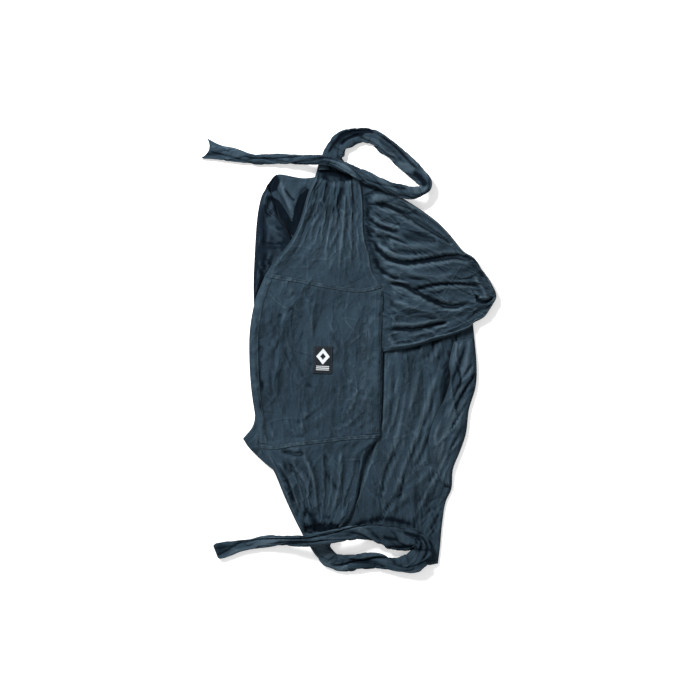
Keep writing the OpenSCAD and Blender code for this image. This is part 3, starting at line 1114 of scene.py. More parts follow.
def stitches(
    name: str, line: np.ndarray, finish: bpy.types.Material, length: float, pitch: float,
    width: float, turn: float = 0.0,
) -> bpy.types.Object:
    """Sew a line of separate stitches along a curve.

    Each stitch is a small capsule: rings of six points whose radius follows half an ellipse, laid
    along the curve at its place, or turned across it.

    Args:
        name: The piece's name.
        line: Points on the cloth.
        finish: The thread's material.
        length: Of one stitch.
        pitch: From one stitch to the next.
        width: Of the thread.
        turn: Angle between the curve and a stitch, in radians.

    Returns:
        The piece.
    """
    run = running_length(line)
    centres = np.arange(pitch / 2, run[-1], pitch)
    behind, at, ahead = (along_line(line, run, centres + shift) for shift in (-pitch / 3, 0, pitch / 3))
    along = units(ahead - behind)
    level = units(np.cross(np.array([0.0, 0.0, 1.0]), along))
    along, level = (
        along * math.cos(turn) + level * math.sin(turn), level * math.cos(turn) - along * math.sin(turn))
    up = np.cross(along, level)
    sides, rings = 6, 5
    t = np.linspace(-1, 1, rings)
    radius = np.sqrt(np.maximum(1 - t**2, 0.04)) * width / 2
    a = np.arange(sides) * 2 * math.pi / sides
    ring = (
        t[:, None, None] * length / 2 * along[:, None, None, :]
        + (radius[:, None] * np.cos(a))[None, :, :, None] * level[:, None, None, :]
        + (radius[:, None] * np.sin(a))[None, :, :, None] * up[:, None, None, :]
    )
    points = (at[:, None, None, :] + ring).reshape(-1, 3)
    k = np.arange(sides)
    r = np.arange(rings - 1)[:, None]
    wall = np.stack([
        r * sides + k, r * sides + (k + 1) % sides,
        (r + 1) * sides + (k + 1) % sides, (r + 1) * sides + k], axis=-1).reshape(-1, 4)
    last = (rings - 1) * sides
    caps = np.array([
        [3, 2, 1, 0], [5, 4, 3, 0],
        [last, last + 1, last + 2, last + 3], [last, last + 3, last + 4, last + 5]])
    one = np.concatenate([wall, caps])
    offsets = (np.arange(len(centres)) * sides * rings)[:, None, None]
    return new_piece(name, points, (one[None] + offsets).reshape(-1, 4), finish)


def topstitch(
    name: str, line: np.ndarray, finish: bpy.types.Material, width: float = 0.0007
) -> bpy.types.Object:
    """Sew a plain line of topstitching, whose gaps are about a third of a stitch."""
    return stitches(name, line, finish, 0.0026, 0.0034, width)


def joined(name: str, pieces: Sequence[bpy.types.Object]) -> bpy.types.Object:
    """Join pieces of one finish into one object.

    Args:
        name: Name of the result.
        pieces: The pieces, which are used up.

    Returns:
        The joined piece.
    """
    points, faces, start = [], [], 0
    for piece in pieces:
        mesh = piece.data
        co = np.empty(len(mesh.vertices) * 3, np.float32)
        mesh.vertices.foreach_get("co", co)
        loops = np.empty(len(mesh.loops), np.int32)
        mesh.loops.foreach_get("vertex_index", loops)
        points.append(co.reshape(-1, 3))
        faces.append(loops.reshape(-1, 4) + start)
        start += len(mesh.vertices)
    finish = pieces[0].data.materials[0]
    for piece in pieces:
        mesh = piece.data
        bpy.data.objects.remove(piece)
        bpy.data.meshes.remove(mesh)
    return new_piece(name, np.concatenate(points), np.concatenate(faces), finish)


# Painted shade on the corner at the top of the folded end, which lies over three pieces of cloth.
FOLDED_CORNER_SHADE = Shade(((-146, 352), (-168, 325), (-158, 313), (-145, 319), (-140, 334)), 9.0)


@dataclass
class LongLoop:
    """The long cloth loop, flat on the floor from the upper left to the lower right.

    Attributes:
        wardrobe: The finishes.
        spacing: Grid step before refining.
        left: Left edge, hidden under the sash below the upper end.
        right: Right edge.
        top: Upper edge, hidden under the short loop.
        bottom: Lower edge.
        finer: Steps in place of each one after it has settled.
        creases: The washed-in creases that it settles with.
        small_creases: Those laid on afterwards.
        folds: Its larger folds.
        painted_shading: Painted shade where it lies in the dark, and painted light where it stands in the
            light.
    """

    wardrobe: Wardrobe
    spacing: float = 0.0088
    finer: int = 3
    left: Points = (
        (-162, 328), (-176, 306), (-185, 260), (-190, 184), (-190, 110), (-185, -40), (-170, -150),
        (-130, -250), (-88, -335))
    right: Points = (
        (245, 52), (252, -28), (250, -74), (237, -118), (231, -166), (219, -202), (205, -238),
        (202, -276), (190, -305), (183, -350), (179, -395), (175, -426))
    top: Points = ((-162, 328), (-145, 350), (-95, 343), (-30, 340), (60, 270), (150, 160), (245, 52))
    bottom: Points = ((-88, -335), (-50, -356), (40, -368), (105, -388), (147, -426), (175, -426))
    creases: tuple[CreaseField, ...] = (
        CreaseField(95, 66, 26, (50, 190), (3.0, 7.5), 3.6, 11),
        CreaseField(70, 105, 40, (25, 80), (2.0, 4.5), 2.0, 12),
    )
    small_creases: CreaseField = CreaseField(230, 66, 50, (14, 60), (1.3, 2.6), 1.0, 14)
    folds: tuple[Fold, ...] = (
        Fold(((186, -10), (150, -110), (118, -210), (70, -320)), 9, 4.4, 0.6),
        Fold(((150, 0), (128, -90), (96, -190)), 7, 3.8, -0.6),
        Fold(((110, -20), (104, -120), (70, -240)), 7, 3.4, 0.5),
        Fold(((200, -200), (160, -270), (120, -345)), 7, 4.2, 0.5),
        Fold(((150, -150), (112, -240), (92, -330)), 5, -3.4),
        Fold(((176, -120), (150, -190), (128, -240)), 5, -3.2),
        Fold(((98, -190), (70, -250), (60, -320)), 5, -3.0),
        Fold(((196, -290), (176, -330), (160, -372)), 5, -3.6),
        Fold(((170, -60), (160, -120), (140, -160)), 4, -2.8),
        Fold(((178, -230), (140, -300), (128, -372)), 5, -2.2),
        Fold(((86, -10), (84, -110), (66, -180)), 5, -2.4),
        Fold(((20, -205), (18, -240), (14, -270)), 8, -2.0),
    )

    # Painted shade along these lines and in the corner, and a broad patch of painted light where the height
    # is positive.
    painted_shading: tuple[Fold | Shade, ...] = (
        Fold(((202, 16), (194, -36), (188, -98), (178, -142), (160, -186), (164, -230)), 8, -6.0),
        Fold(((-10, -352), (20, -346), (60, -336), (104, -342), (140, -356)), 6, -6.0),
        Fold(((76, 10), (120, 8), (180, 22), (226, 38)), 8, -4.5),
        Fold(((22, -200), (20, -235), (14, -270)), 6, -1.8),
        Fold(((172, -300), (164, -350), (158, -400)), 6, -3.0),
        Fold(((120, -40), (112, -180), (90, -290)), 55, 1.5),
        FOLDED_CORNER_SHADE,
    )

    def build(self) -> None:
        """Build the loop's two layers and its end hem."""
        xy, rows, columns = patch(self.left, self.right, self.top, self.bottom, self.spacing)
        floor = layer_floor("long_loop_front")
        x, y = xy[..., 0], xy[..., 1]
        fall = edge_fall(rows, columns, self.spacing, 0.012)
        raw = 0.0024 + heights_of(self.creases, x, y)
        raw += heights_of(self.folds, x, y) + self.shirring(x, y)
        raw += 0.0012 * value_noise(x, y, 0.06, 13)
        ceiling = np.where((x < -0.06) & (y > 0.16), 0.0030, 0.0078)
        beside = (x < self.sash_edge(y) + 0.010) & (y < 0.02)
        ceiling = np.where(beside, np.minimum(ceiling, 0.0060), ceiling)
        z = floor + np.clip(raw, 0.0, None) * fall
        grid = settle(with_height(xy, z), floor, 0.060, 66, 30, 0.009, rim_pins(rows, columns))
        grid = refined(grid, self.finer)
        x, y = grid[..., 0], grid[..., 1]
        fine = self.small_creases.heights(x, y) + 0.5 * heights_of(self.folds, x, y)
        fine = fine * edge_fall(*x.shape, 1.0, 6.0)
        ceiling = refined(ceiling[..., None], self.finer)[..., 0]
        rise = softly_capped(grid[..., 2] + fine - floor, ceiling)
        grid[..., 2] = floor + np.minimum(rise + self.swell(x, y), 0.0078)
        cloth = Cloth(grid, relief_of(grid[..., 2], 0.0019, 14))
        cloth.paint_shading(self.painted_shading)
        front = cloth.laid("long_loop_front", self.wardrobe.jersey, Body.CARRIER)
        self.back_layer(xy)
        hem = self.end_hem(cloth)

    @staticmethod
    def sash_edge(y: np.ndarray) -> np.ndarray:
        """Plan x of the sash's right edge, where it lies on the loop."""
        return np.interp(y, (-0.36, -0.29, -0.20, -0.14, 0.0), (-0.02, 0.015, 0.045, 0.062, 0.066))

    def swell(self, x: np.ndarray, y: np.ndarray) -> np.ndarray:
        """Fullness along the outside of the sash's right edge, fading to the right over 0.09 m."""
        out = x - self.sash_edge(y)
        return 0.0030 * ease((out + 0.001) / 0.007) * ease((0.09 - out) / 0.08) * ease((0.05 - y) / 0.08)

    def shirring(self, x: np.ndarray, y: np.ndarray) -> np.ndarray:
        """Fine upright pleats under the short loop's hem.

        Returns:
            A sine of x with slightly wandering phase, strongest just below the hem.
        """
        wander = 0.4 * value_noise(x, y, 0.03, 17)
        wave = 0.5 + 0.5 * np.sin(2 * math.pi * (x / 0.0095 + wander))
        reach = ease((x - 0.062) / 0.03) * ease((0.215 - x) / 0.03)
        down = np.exp(-((y - (0.005 + 0.16 * np.clip(x - 0.06, 0, 1))) / 0.055) ** 2)
        return 0.0026 * wave * reach * down

    def back_layer(self, xy: np.ndarray) -> None:
        """Build the layer that lies on the floor, on the loop's plan grid."""
        x, y = xy[..., 0], xy[..., 1]
        top = layer_top("long_loop_back")
        low = 0.0016
        raw = 0.0008 * (1 + value_noise(x, y, 0.05, 21)) + 0.3 * np.abs(self.creases[0].heights(x, y))
        z = low + np.clip(raw, 0, top - low - 0.0006)
        cloth = Cloth(with_height(xy, z), relief_of(z, 0.002))
        piece = cloth.laid("long_loop_back", self.wardrobe.inside, Body.CARRIER)

    def end_hem(self, cloth: Cloth) -> bpy.types.Object:
        """Build the turned hem along the lower edge, on the front layer."""
        rows, columns = cloth.grid.shape[:2]
        width = 12.0 * MM / (self.spacing / self.finer)
        i, j = np.meshgrid(
            np.linspace(rows - 1 - width, rows - 1.4, 7), np.linspace(columns * 0.25, columns - 2, 120),
            indexing="ij")
        strip = raised_strip(cloth, i, j, 0.0009)
        return strip.laid("long_loop_end_hem", self.wardrobe.hem, Body.CARRIER, 0.0008)


@dataclass
class LoopFolds:
    """The long loop's side strip, its folded upper left end and the joining band.

    Attributes:
        wardrobe: The finishes.
        spacing: Grid step.
        mouth: Painted shade on the inside of the folded end.
        wedge: Painted shade on the strip between the folded end and the sash.
    """

    wardrobe: Wardrobe
    spacing: float = 0.0019
    mouth: Shade = Shade(((-160, 308), (-141, 297), (-108, 246), (-120, 221)), 8.0)
    wedge: Shade = Shade(((-83, 321), (-101, 307), (-110, 285), (-122, 216), (-98, 206), (-60, 300)), 8.0)

    def build(self) -> None:
        """Build every folded piece."""
        self.side_fold()
        self.left_end()
        self.vee()
        self.joining_band()

    def laid_patch(
        self, node: str, edges: tuple[Points, Points, Points, Points], base: float, tall: float,
        rim: float, shapes: Sequence[Fold | CreaseField], finish: bpy.types.Material,
        painted_shading: Sequence[Fold | Shade] = (),
    ) -> tuple[bpy.types.Object, Cloth]:
        """Build one folded piece of cloth with a rounded rim, on the carrier.

        Args:
            node: The CAD node that it stands for.
            edges: Left, right, top and bottom edges.
            base: Height of what it lies on.
            tall: Height of the roll above that.
            rim: Width of the rounded rim.
            shapes: Folds and creases that add to its height.
            finish: Its material.
            painted_shading: Painted shade laid on it.

        Returns:
            The piece and its cloth.
        """
        xy, rows, columns = patch(*edges, self.spacing)
        fall = edge_fall(rows, columns, self.spacing, rim)
        raw = heights_of(shapes, xy[..., 0], xy[..., 1])
        z = base + 0.0006 + np.clip(tall * 0.6 + raw, 0.0, tall) * fall
        cloth = Cloth(with_height(xy, z), relief_of(z, 0.0009, 170))
        cloth.paint_shading(painted_shading)
        return cloth.laid(node, finish, Body.CARRIER), cloth

    def side_fold(self) -> None:
        """Build the strip that is turned over down the long loop's right side."""
        edges = (
            ((206, 16), (197, -25), (199, -55), (190, -90), (165, -145), (156, -185), (165, -232),
             (186, -270)),
            ((244, 24), (250, -28), (248, -72), (235, -118), (229, -166), (217, -202), (203, -238),
             (199, -272)),
            ((206, 16), (225, 21), (244, 24)),
            ((186, -270), (193, -272), (199, -272)))
        creases = CreaseField(34, 70, 22, (40, 130), (2.0, 4.5), 1.5, 31)
        folds = (
            Fold(((256, -16), (228, -46), (204, -96)), 3.5, -2.4, 0.4),
            Fold(((256, -40), (228, -78), (200, -130)), 3.5, -2.8, 0.4),
            Fold(((254, -80), (224, -118), (192, -172)), 4, -2.4),
            Fold(((240, -126), (212, -174), (186, -226)), 4, -2.2),
            Fold(((204, 6), (200, -40), (196, -80)), 5, 2.0, 0.5),
            Fold(((186, -100), (170, -150), (168, -200)), 5, 2.2, 0.5),
        )
        # Painted shade along the strip's inner edge and across its folds.
        painted_shading = (
            Fold(((236, 20), (222, -10), (208, -44), (200, -84)), 4, -4.5),
            Fold(((258, -40), (228, -62), (212, -76), (196, -120)), 4, -5.5),
            Fold(((256, -70), (228, -92), (204, -134)), 3.5, -4.5),
            Fold(((198, -20), (194, -60), (182, -110), (166, -170)), 5, -4.0),
        )
        base, top = layer_floor("long_loop_side_fold"), layer_top("long_loop_side_fold")
        piece, cloth = self.laid_patch(
            "long_loop_side_fold", edges, base + 0.0005, top - base, 0.011, (creases, *folds),
            self.wardrobe.jersey, painted_shading)

    def left_end(self) -> None:
        """Build the collar: the upper left end folded forward."""
        edges = (
            ((-162, 327), (-176, 306), (-185, 260), (-190, 184), (-192, 130), (-191, 84)),
            ((-158, 308), (-148, 298), (-145, 273), (-129, 252), (-121, 236), (-114, 212), (-127, 180),
             (-152, 148), (-168, 112), (-178, 78)),
            ((-162, 327), (-160, 318), (-158, 308)),
            ((-191, 84), (-185, 80), (-178, 78)))
        creases = CreaseField(26, 80, 45, (20, 70), (2.2, 5.0), 2.6, 41)
        folds = (
            Fold(((-184, 214), (-154, 211), (-120, 212)), 3.0, -1.4, 0.5),
            Fold(((-170, 306), (-171, 240), (-172, 160), (-182, 96)), 3.0, -2.2, 0.6),
            Fold(((-168, 300), (-156, 300), (-147, 292), (-142, 268)), 4.5, -4.2),
            Fold(((-168, 190), (-160, 160), (-176, 118)), 3.5, -3.0),
            Fold(((-166, 262), (-156, 276), (-148, 286)), 2.6, -2.0),
            Fold(((-150, 246), (-140, 240), (-130, 246)), 3.0, -2.2),
            Fold(((-180, 180), (-176, 140), (-186, 96)), 3.0, -2.8),
            Fold(((-160, 314), (-152, 308), (-144, 296)), 4.0, 2.2),
            Fold(((-160, 250), (-146, 226), (-134, 216)), 6.0, 2.0),
        )
        # Painted shade in the corner, inside the fold and along the collar's creases.
        painted_shading = (
            FOLDED_CORNER_SHADE, self.mouth,
            Fold(((-184, 290), (-188, 220), (-190, 150), (-191, 96)), 5, -3.0),
            Fold(((-172, 190), (-172, 140), (-180, 92)), 5, -4.0),
            Fold(((-172, 206), (-150, 204), (-124, 206)), 3, -4.0),
        )
        # The collar takes the darker jersey copy, as painted shade.
        piece, cloth = self.laid_patch(
            "left_end_fold", edges, layer_floor("left_end_fold"), 0.0062, 0.006, (creases, *folds),
            self.wardrobe.inside, painted_shading)

    def vee(self) -> None:
        """Build the cloth that shows inside the folded end, with the joining seam's stitches."""
        edges = (
            ((-146, 349), (-157, 322), (-150, 292), (-140, 262), (-124, 238)),
            ((-68, 343), (-76, 310), (-84, 270), (-96, 214)),
            ((-146, 349), (-122, 343), (-95, 342), (-68, 343)),
            ((-124, 238), (-110, 224), (-96, 214)))
        folds = (
            Fold(((-156, 322), (-148, 312), (-134, 288), (-122, 256), (-114, 226)), 6.5, -4.2),
            Fold(((-164, 326), (-152, 334), (-144, 350)), 8, -4.2),
            Fold(((-86, 332), (-94, 300), (-100, 272), (-112, 236)), 8, -4.0),
            Fold(((-140, 338), (-130, 306), (-118, 276)), 4.5, 0.9, 0.8),
            Fold(((-132, 324), (-118, 304), (-108, 296)), 3.5, -1.6),
        )
        # Painted shade in the corner, the mouth, the wedge and along one crease.
        painted_shading = (
            FOLDED_CORNER_SHADE, self.mouth, self.wedge,
            Fold(((-120, 300), (-108, 276), (-102, 250)), 4, -2.0),
        )
        piece, cloth = self.laid_patch(
            "vee_panel", edges, layer_floor("vee_panel") - 0.0006, 0.0026, 0.004, folds,
            self.wardrobe.jersey, painted_shading)
        rows, columns = cloth.grid.shape[:2]
        i = np.linspace(rows * 0.52, rows * 0.70, 12)
        line = cloth.sample(i, np.linspace(columns * 0.46, columns * 0.50, 12))
        line[:, 2] += 0.0004
        ladder = stitches("joining_seam_stitches", line, self.wardrobe.thread, 0.0042, 0.0026, 0.0009,
                          math.pi / 2)
        ride(ladder, Body.CARRIER, "ladder_stitches")

    def joining_band(self) -> None:
        """Build the band that joins the loops, whose corner shows at the lower left."""
        edges = (
            ((-175, 110), (-193, 30), (-193, -60), (-190, -140), (-213, -177)),
            ((-90, 180), (-82, 40), (-86, -100), (-104, -205), (-120, -248)),
            ((-175, 110), (-130, 150), (-90, 180)),
            ((-213, -177), (-197, -199), (-153, -238), (-120, -248)))
        creases = CreaseField(24, 60, 40, (30, 90), (3.0, 6.0), 1.6, 51)
        piece, cloth = self.laid_patch(
            "joining_band", edges, layer_floor("joining_band"), 0.0028, 0.004, (creases,),
            self.wardrobe.jersey)


@dataclass
class ShortLoop:
    """The short loop, gathered where it passes under the sash."""

    wardrobe: Wardrobe
    spacing: float = 0.0078
    finer: int = 4
    left: Points = (
        (-4, 352), (4, 300), (10, 250), (16, 222), (26, 188), (34, 158), (50, 128), (54, 100),
        (51, 40), (50, -2))
    right: Points = ((279, 137), (291, 108), (281, 86))
    top: Points = (
        (-4, 352), (38, 340), (74, 320), (115, 296), (161, 265), (187, 242), (222, 200), (247, 183),
        (261, 160), (279, 137))
    bottom: Points = (
        (50, -2), (68, -4), (121, 4), (163, 17), (201, 28), (235, 42), (246, 54), (267, 66), (281, 86))
    hem_width: float = 0.016
    folds: tuple[Fold, ...] = (
        Fold(((30, 290), (75, 285), (120, 262), (160, 238), (212, 206)), 5, -9.4, 0.3),
        Fold(((34, 306), (90, 300), (150, 262)), 9, 5.1, 0.3),
        Fold(((34, 262), (62, 246), (104, 232)), 4.3, -6.5),
        Fold(((38, 230), (64, 190), (104, 172), (160, 178), (215, 184), (262, 164)), 5, -11.6, 0.5),
        Fold(((60, 214), (120, 206), (190, 212)), 14, 7.2, -0.3),
        Fold(((56, 160), (98, 140)), 4.3, -7.2),
        Fold(((58, 148), (104, 154), (160, 146), (230, 152)), 12, 5.8, 0.2),
        Fold(((66, 132), (104, 128), (150, 104), (196, 86), (244, 92)), 4.3, -9.4, 0.5),
        Fold(((110, 112), (160, 128), (214, 132), (262, 126)), 3.6, -5.8),
        Fold(((78, 100), (130, 84), (190, 66)), 12, 5.8),
        Fold(((68, 40), (136, 42), (212, 62)), 4.3, -8, 0.4),
        Fold(((240, 148), (262, 122), (270, 92)), 7, 5.8, 0.8),
        Fold(((248, 112), (256, 98), (272, 96), (286, 106)), 2.9, -10.2),
        Fold(((262, 150), (276, 128), (284, 108)), 6, 4.3),
    )
    # Painted shade along the loop's left side, its top and its deepest valleys.
    painted_shading: tuple[Fold | Shade, ...] = (
        Fold(((20, 340), (34, 290), (36, 230), (52, 178), (70, 124)), 9, -4.0),
        Fold(((24, 338), (60, 324), (110, 298)), 7, -4.0),
        Fold(((100, 232), (150, 226), (206, 204)), 6, -3.5),
        Fold(((232, 176), (254, 160), (268, 134)), 5, -3.5),
        Fold(((106, 134), (140, 124), (184, 96)), 6, -4.5),
        Fold(((246, 96), (262, 92), (278, 96)), 4, -5.0),
    )
    small_creases: CreaseField = CreaseField(260, -10, 34, (16, 80), (1.1, 2.4), 1.6, 63)
    creases: CreaseField = CreaseField(60, -14, 26, (30, 110), (2.2, 5.0), 2.4, 61)

    def build(self) -> None:
        """Build both layers, the hem and its topstitch."""
        xy, rows, columns = patch(self.left, self.right, self.top, self.bottom, self.spacing)
        x, y = xy[..., 0], xy[..., 1]
        base, top = layer_floor("short_loop_front"), layer_top("short_loop_front")
        u = np.broadcast_to(np.linspace(0, 1, columns)[None, :], (rows, columns))
        v = np.broadcast_to(np.linspace(0, 1, rows)[:, None], (rows, columns))
        out = ease((u - 0.05) / 0.09)
        near = np.exp(-((u - 0.16) / 0.22) ** 2)
        spread = gathers(v, u, 17, 0.0034 * near * ease((0.8 - v) / 0.3), 62)
        broad = gathers(v, u, 5, 0.0036 * out, 64)
        lines = heights_of(self.folds, x, y) + self.creases.heights(x, y)
        fall = edge_fall(rows, columns, self.spacing, 0.013)
        low = base - 0.0007
        stand = np.clip(0.0045 + spread + broad + lines, 0.0002, None)
        z = low + stand * fall * (0.12 + 0.88 * out)
        grid = settle(with_height(xy, z), base - 0.0012, 0.075, -14, 30, 0.011, rim_pins(rows, columns))
        grid = refined(grid, self.finer)
        x, y = grid[..., 0], grid[..., 1]
        inner = edge_fall(*x.shape, 1.0, 7.0) * np.linspace(0, 1, x.shape[1])[None, :] ** 0.3
        again = self.small_creases.heights(x, y) + 0.62 * heights_of(self.folds, x, y)
        rise = grid[..., 2] + again * inner - low
        grid[..., 2] = low + softly_capped(rise, top - base + 0.004)
        cloth = Cloth(grid, relief_of(grid[..., 2], 0.0013, 30), turned=True)
        cloth.paint_shading(self.painted_shading)
        front = cloth.laid("short_loop_front", self.wardrobe.jersey, Body.CARRIER)
        hem, thread = self.hem(cloth)
        self.back_layer()

    def hem(self, cloth: Cloth) -> tuple[bpy.types.Object, bpy.types.Object]:
        """Build the lower hem and its line of topstitching.

        Args:
            cloth: The front layer.

        Returns:
            The hem and the thread.
        """
        rows, columns = cloth.grid.shape[:2]
        across = np.linspace(columns * 0.07, columns * 0.78, 150)
        depth = np.linspace(0, 1, 9)[:, None]
        reach = self.hem_width / (self.spacing / self.finer) * 0.62
        i = (rows - 1.2) - reach * (1 - depth) + 0 * across[None, :]
        strip = raised_strip(cloth, i, across[None, :] + 0 * depth, 0.0011)
        hem = strip.laid("short_loop_hem", self.wardrobe.hem, Body.CARRIER, 0.0008)
        line = cloth.sample(np.full(150, rows - 1.2 - reach * 0.82), across)
        line[:, 2] += 0.0018
        thread = topstitch("short_loop_hem_stitches", line, self.wardrobe.thread)
        return hem, ride(thread, Body.CARRIER, "short_loop_hem_thread")

    def back_layer(self) -> None:
        """Build the layer under the gathers, tucked flat under the sash."""
        left = ((13, 334), (-25, 322), (-60, 270), (-71, 180), (-69, 90), (-30, 22), (40, 0))
        top = tuple((a, b - 2) for a, b in self.top)
        bottom = ((40, 0),) + tuple((a, b + 3) for a, b in self.bottom[1:])
        xy, rows, columns = patch(left, self.right, top, bottom, 0.006)
        base = layer_floor("short_loop_back")
        creases = CreaseField(40, -20, 40, (30, 90), (3.0, 6.0), 1.6, 71)
        raw = 0.0012 + creases.heights(xy[..., 0], xy[..., 1])
        z = base + 0.0014 + np.clip(raw, 0, 0.0016)
        cloth = Cloth(with_height(xy, z), relief_of(z, 0.002))
        piece = cloth.laid("short_loop_back", self.wardrobe.inside, Body.CARRIER)


@dataclass
class Sash:
    """The pocketed sash: upper wing, pocket and lower wing as one run of cloth with two seams."""

    wardrobe: Wardrobe
    spacing: float = 0.0076
    finer: int = 4
    upper_left: Points = (
        (-62, 374), (-68, 350), (-84, 310), (-96, 268), (-108, 235), (-126, 206), (-148, 181),
        (-168, 150))
    upper_right: Points = (
        (-6, 364), (8, 350), (22, 334), (28, 300), (30, 250), (33, 222), (43, 188), (49, 158), (67, 128))
    pocket_left: Points = (
        (-168, 150), (-188, 100), (-199, 40), (-200, -20), (-196, -80), (-187, -140), (-179, -192))
    pocket_right: Points = ((67, 128), (69, 100), (66, 40), (65, -20), (64, -80), (62, -140), (60, -172))
    lower_left: Points = ((-179, -192), (-152, -240), (-131, -290), (-112, -332), (-97, -362), (-90, -376))
    lower_right: Points = (
        (60, -172), (35, -205), (22, -245), (15, -290), (2, -330), (-18, -356), (-28, -370))
    top_seam: Points = ((-168, 150), (-137, 143), (-110, 139), (-75, 132), (-15, 121), (25, 118), (67, 128))
    bottom_seam: Points = ((-179, -192), (-150, -194), (-112, -188), (-60, -182), (0, -175), (60, -172))
    neck: Points = ((-62, 374), (-33, 370), (-6, 364))
    foot: Points = ((-90, -376), (-60, -375), (-28, -370))
    pocket_creases: tuple[CreaseField, ...] = (
        CreaseField(56, 78, 34, (40, 150), (3.0, 7.0), 2.4, 81),
        CreaseField(60, 60, 70, (18, 60), (1.8, 3.6), 1.3, 82),
    )
    small_creases: CreaseField = CreaseField(260, 80, 60, (14, 70), (1.2, 2.4), 0.8, 84)
    folds: tuple[Fold, ...] = (
        Fold(((-180, 20), (-182, -40), (-172, -90)), 7, -2.6, 0.5),
        Fold(((-66, -50), (-90, -120), (-112, -180)), 11, 1.5, 0.6),
        Fold(((-20, 100), (-34, 30), (-26, -40), (-4, -120)), 12, 1.6, -0.6),
        Fold(((-140, 110), (-132, 40), (-150, -60), (-140, -150)), 12, 1.6, 0.6),
        Fold(((20, 60), (14, -40), (24, -130)), 8, -1.8),
        Fold(((-100, 120), (-110, 60), (-96, -10)), 10, 1.4, 0.5),
        Fold(((-120, 20), (-96, -50), (-64, -90)), 6, -1.5, 0.6),
        Fold(((-40, 40), (-10, -10), (30, -40)), 6, -1.4, 0.6),
        Fold(((-20, -60), (-60, -120), (-120, -150)), 6, -1.6, 0.5),
        Fold(((-150, 60), (-120, 80), (-90, 60)), 6, -1.4),
        Fold(((30, 100), (22, 50), (34, 0)), 5, -1.6),
        Fold(((40, -60), (10, -110), (0, -160)), 6, -1.6, 0.5),
        Fold(((-140, -200), (-112, -207), (-88, -206)), 5, -4.2, 0.4),
        Fold(((-70, 360), (-44, 349), (-20, 346), (14, 344)), 9, -11.0),
        Fold(((-100, -362), (-70, -356), (-44, -354), (-10, -356)), 7, -8.0),
        Fold(((-150, -214), (-118, -262), (-98, -330)), 6, 4.2, 0.6),
        Fold(((-128, -214), (-96, -268), (-80, -336)), 5, -3.8),
        Fold(((-92, -204), (-70, -262), (-64, -330)), 6, 4.2, -0.6),
        Fold(((-50, -200), (-44, -260), (-50, -330)), 5, -3.8),
        Fold(((-18, -196), (-22, -262), (-38, -334)), 6, 4.0, 0.6),
        Fold(((18, -206), (6, -262), (-20, -330)), 6, -4.4, 0.5),
        Fold(((-30, 330), (-44, 260), (-58, 180)), 5, -3.6, 0.4),
        Fold(((-50, 334), (-76, 268), (-104, 200)), 5, -3.2),
        Fold(((-6, 330), (-14, 260), (-20, 170)), 6, 3.6, 0.6),
        Fold(((10, 320), (8, 250), (10, 160)), 5, -3.2),
    )

    # Painted shade at the two necks, along valleys and the upper wing's left edge, and broad patches of
    # painted light and shade on the wings and pocket.
    painted_shading: tuple[Fold | Shade, ...] = (
        Fold(((-70, 362), (-46, 356), (-20, 350), (18, 342)), 9, -8.0),
        Fold(((-54, 352), (-48, 338), (-46, 320)), 5, -4.0),
        Fold(((-104, -352), (-80, -350), (-50, -356), (-14, -352)), 7, -6.5),
        Fold(((-92, -316), (-76, -330), (-60, -352)), 8, -5.5),
        Fold(((-44, -326), (-40, -340), (-30, -358)), 5, -4.0),
        Fold(((-182, 40), (-184, -30), (-178, -100)), 4, -4.0),
        Fold(((20, -200), (19, -230), (10, -262)), 5, -2.5),
        Fold(((-132, -214), (-124, -262), (-108, -310)), 6, -4.0),
        Fold(((-54, -236), (-36, -262), (-20, -284)), 5, -3.5),
        Fold(((-12, 336), (-22, 300), (-40, 262)), 5, -4.0),
        Fold(((-44, 340), (-50, 300), (-62, 260)), 5, -3.5),
        Fold(((-20, 300), (-40, 220), (-60, 160)), 45, 1.7),
        Fold(((-150, 90), (-150, 0), (-140, -130)), 42, -1.5),
        Fold(((20, 80), (30, -20), (20, -140)), 30, 1.5),
        Fold(((-60, -230), (-50, -310)), 40, 1.2),
        Fold(((-80, 322), (-96, 268), (-108, 235), (-126, 206), (-148, 181), (-168, 150)), 5, -2.2),
    )

    def build(self) -> None:
        """Build the sash's cloth, seams, hems, stitches and label."""
        grid, marks = self.run_of_cloth()
        cloth = Cloth(grid, relief_of(grid[..., 2], 0.0016, 26))
        cloth.paint_shading(self.painted_shading)
        rows = grid.shape[0]
        top, bottom = marks
        bits = self.sewn_pieces(cloth, top, bottom)
        parts = (
            ("sash_upper_cloth", 0, top, "sash_upper_panel", Held.GATHERED, bits["upper"]),
            ("pocket_front_cloth", top, bottom, "pocket_front", Held.LAID, bits["pocket"]),
            ("sash_lower_cloth", bottom, rows - 1, "sash_lower_panel", Held.GATHERED, bits["lower"]),
        )
        for name, first, last, node, held, sewn in parts:
            part = Cloth(grid[first : last + 1], cloth.relief_shading[first : last + 1])
            piece = ride(part.piece(name, self.wardrobe.jersey), Body.SASH, node)
        self.pocket_back(grid[top : bottom + 1])

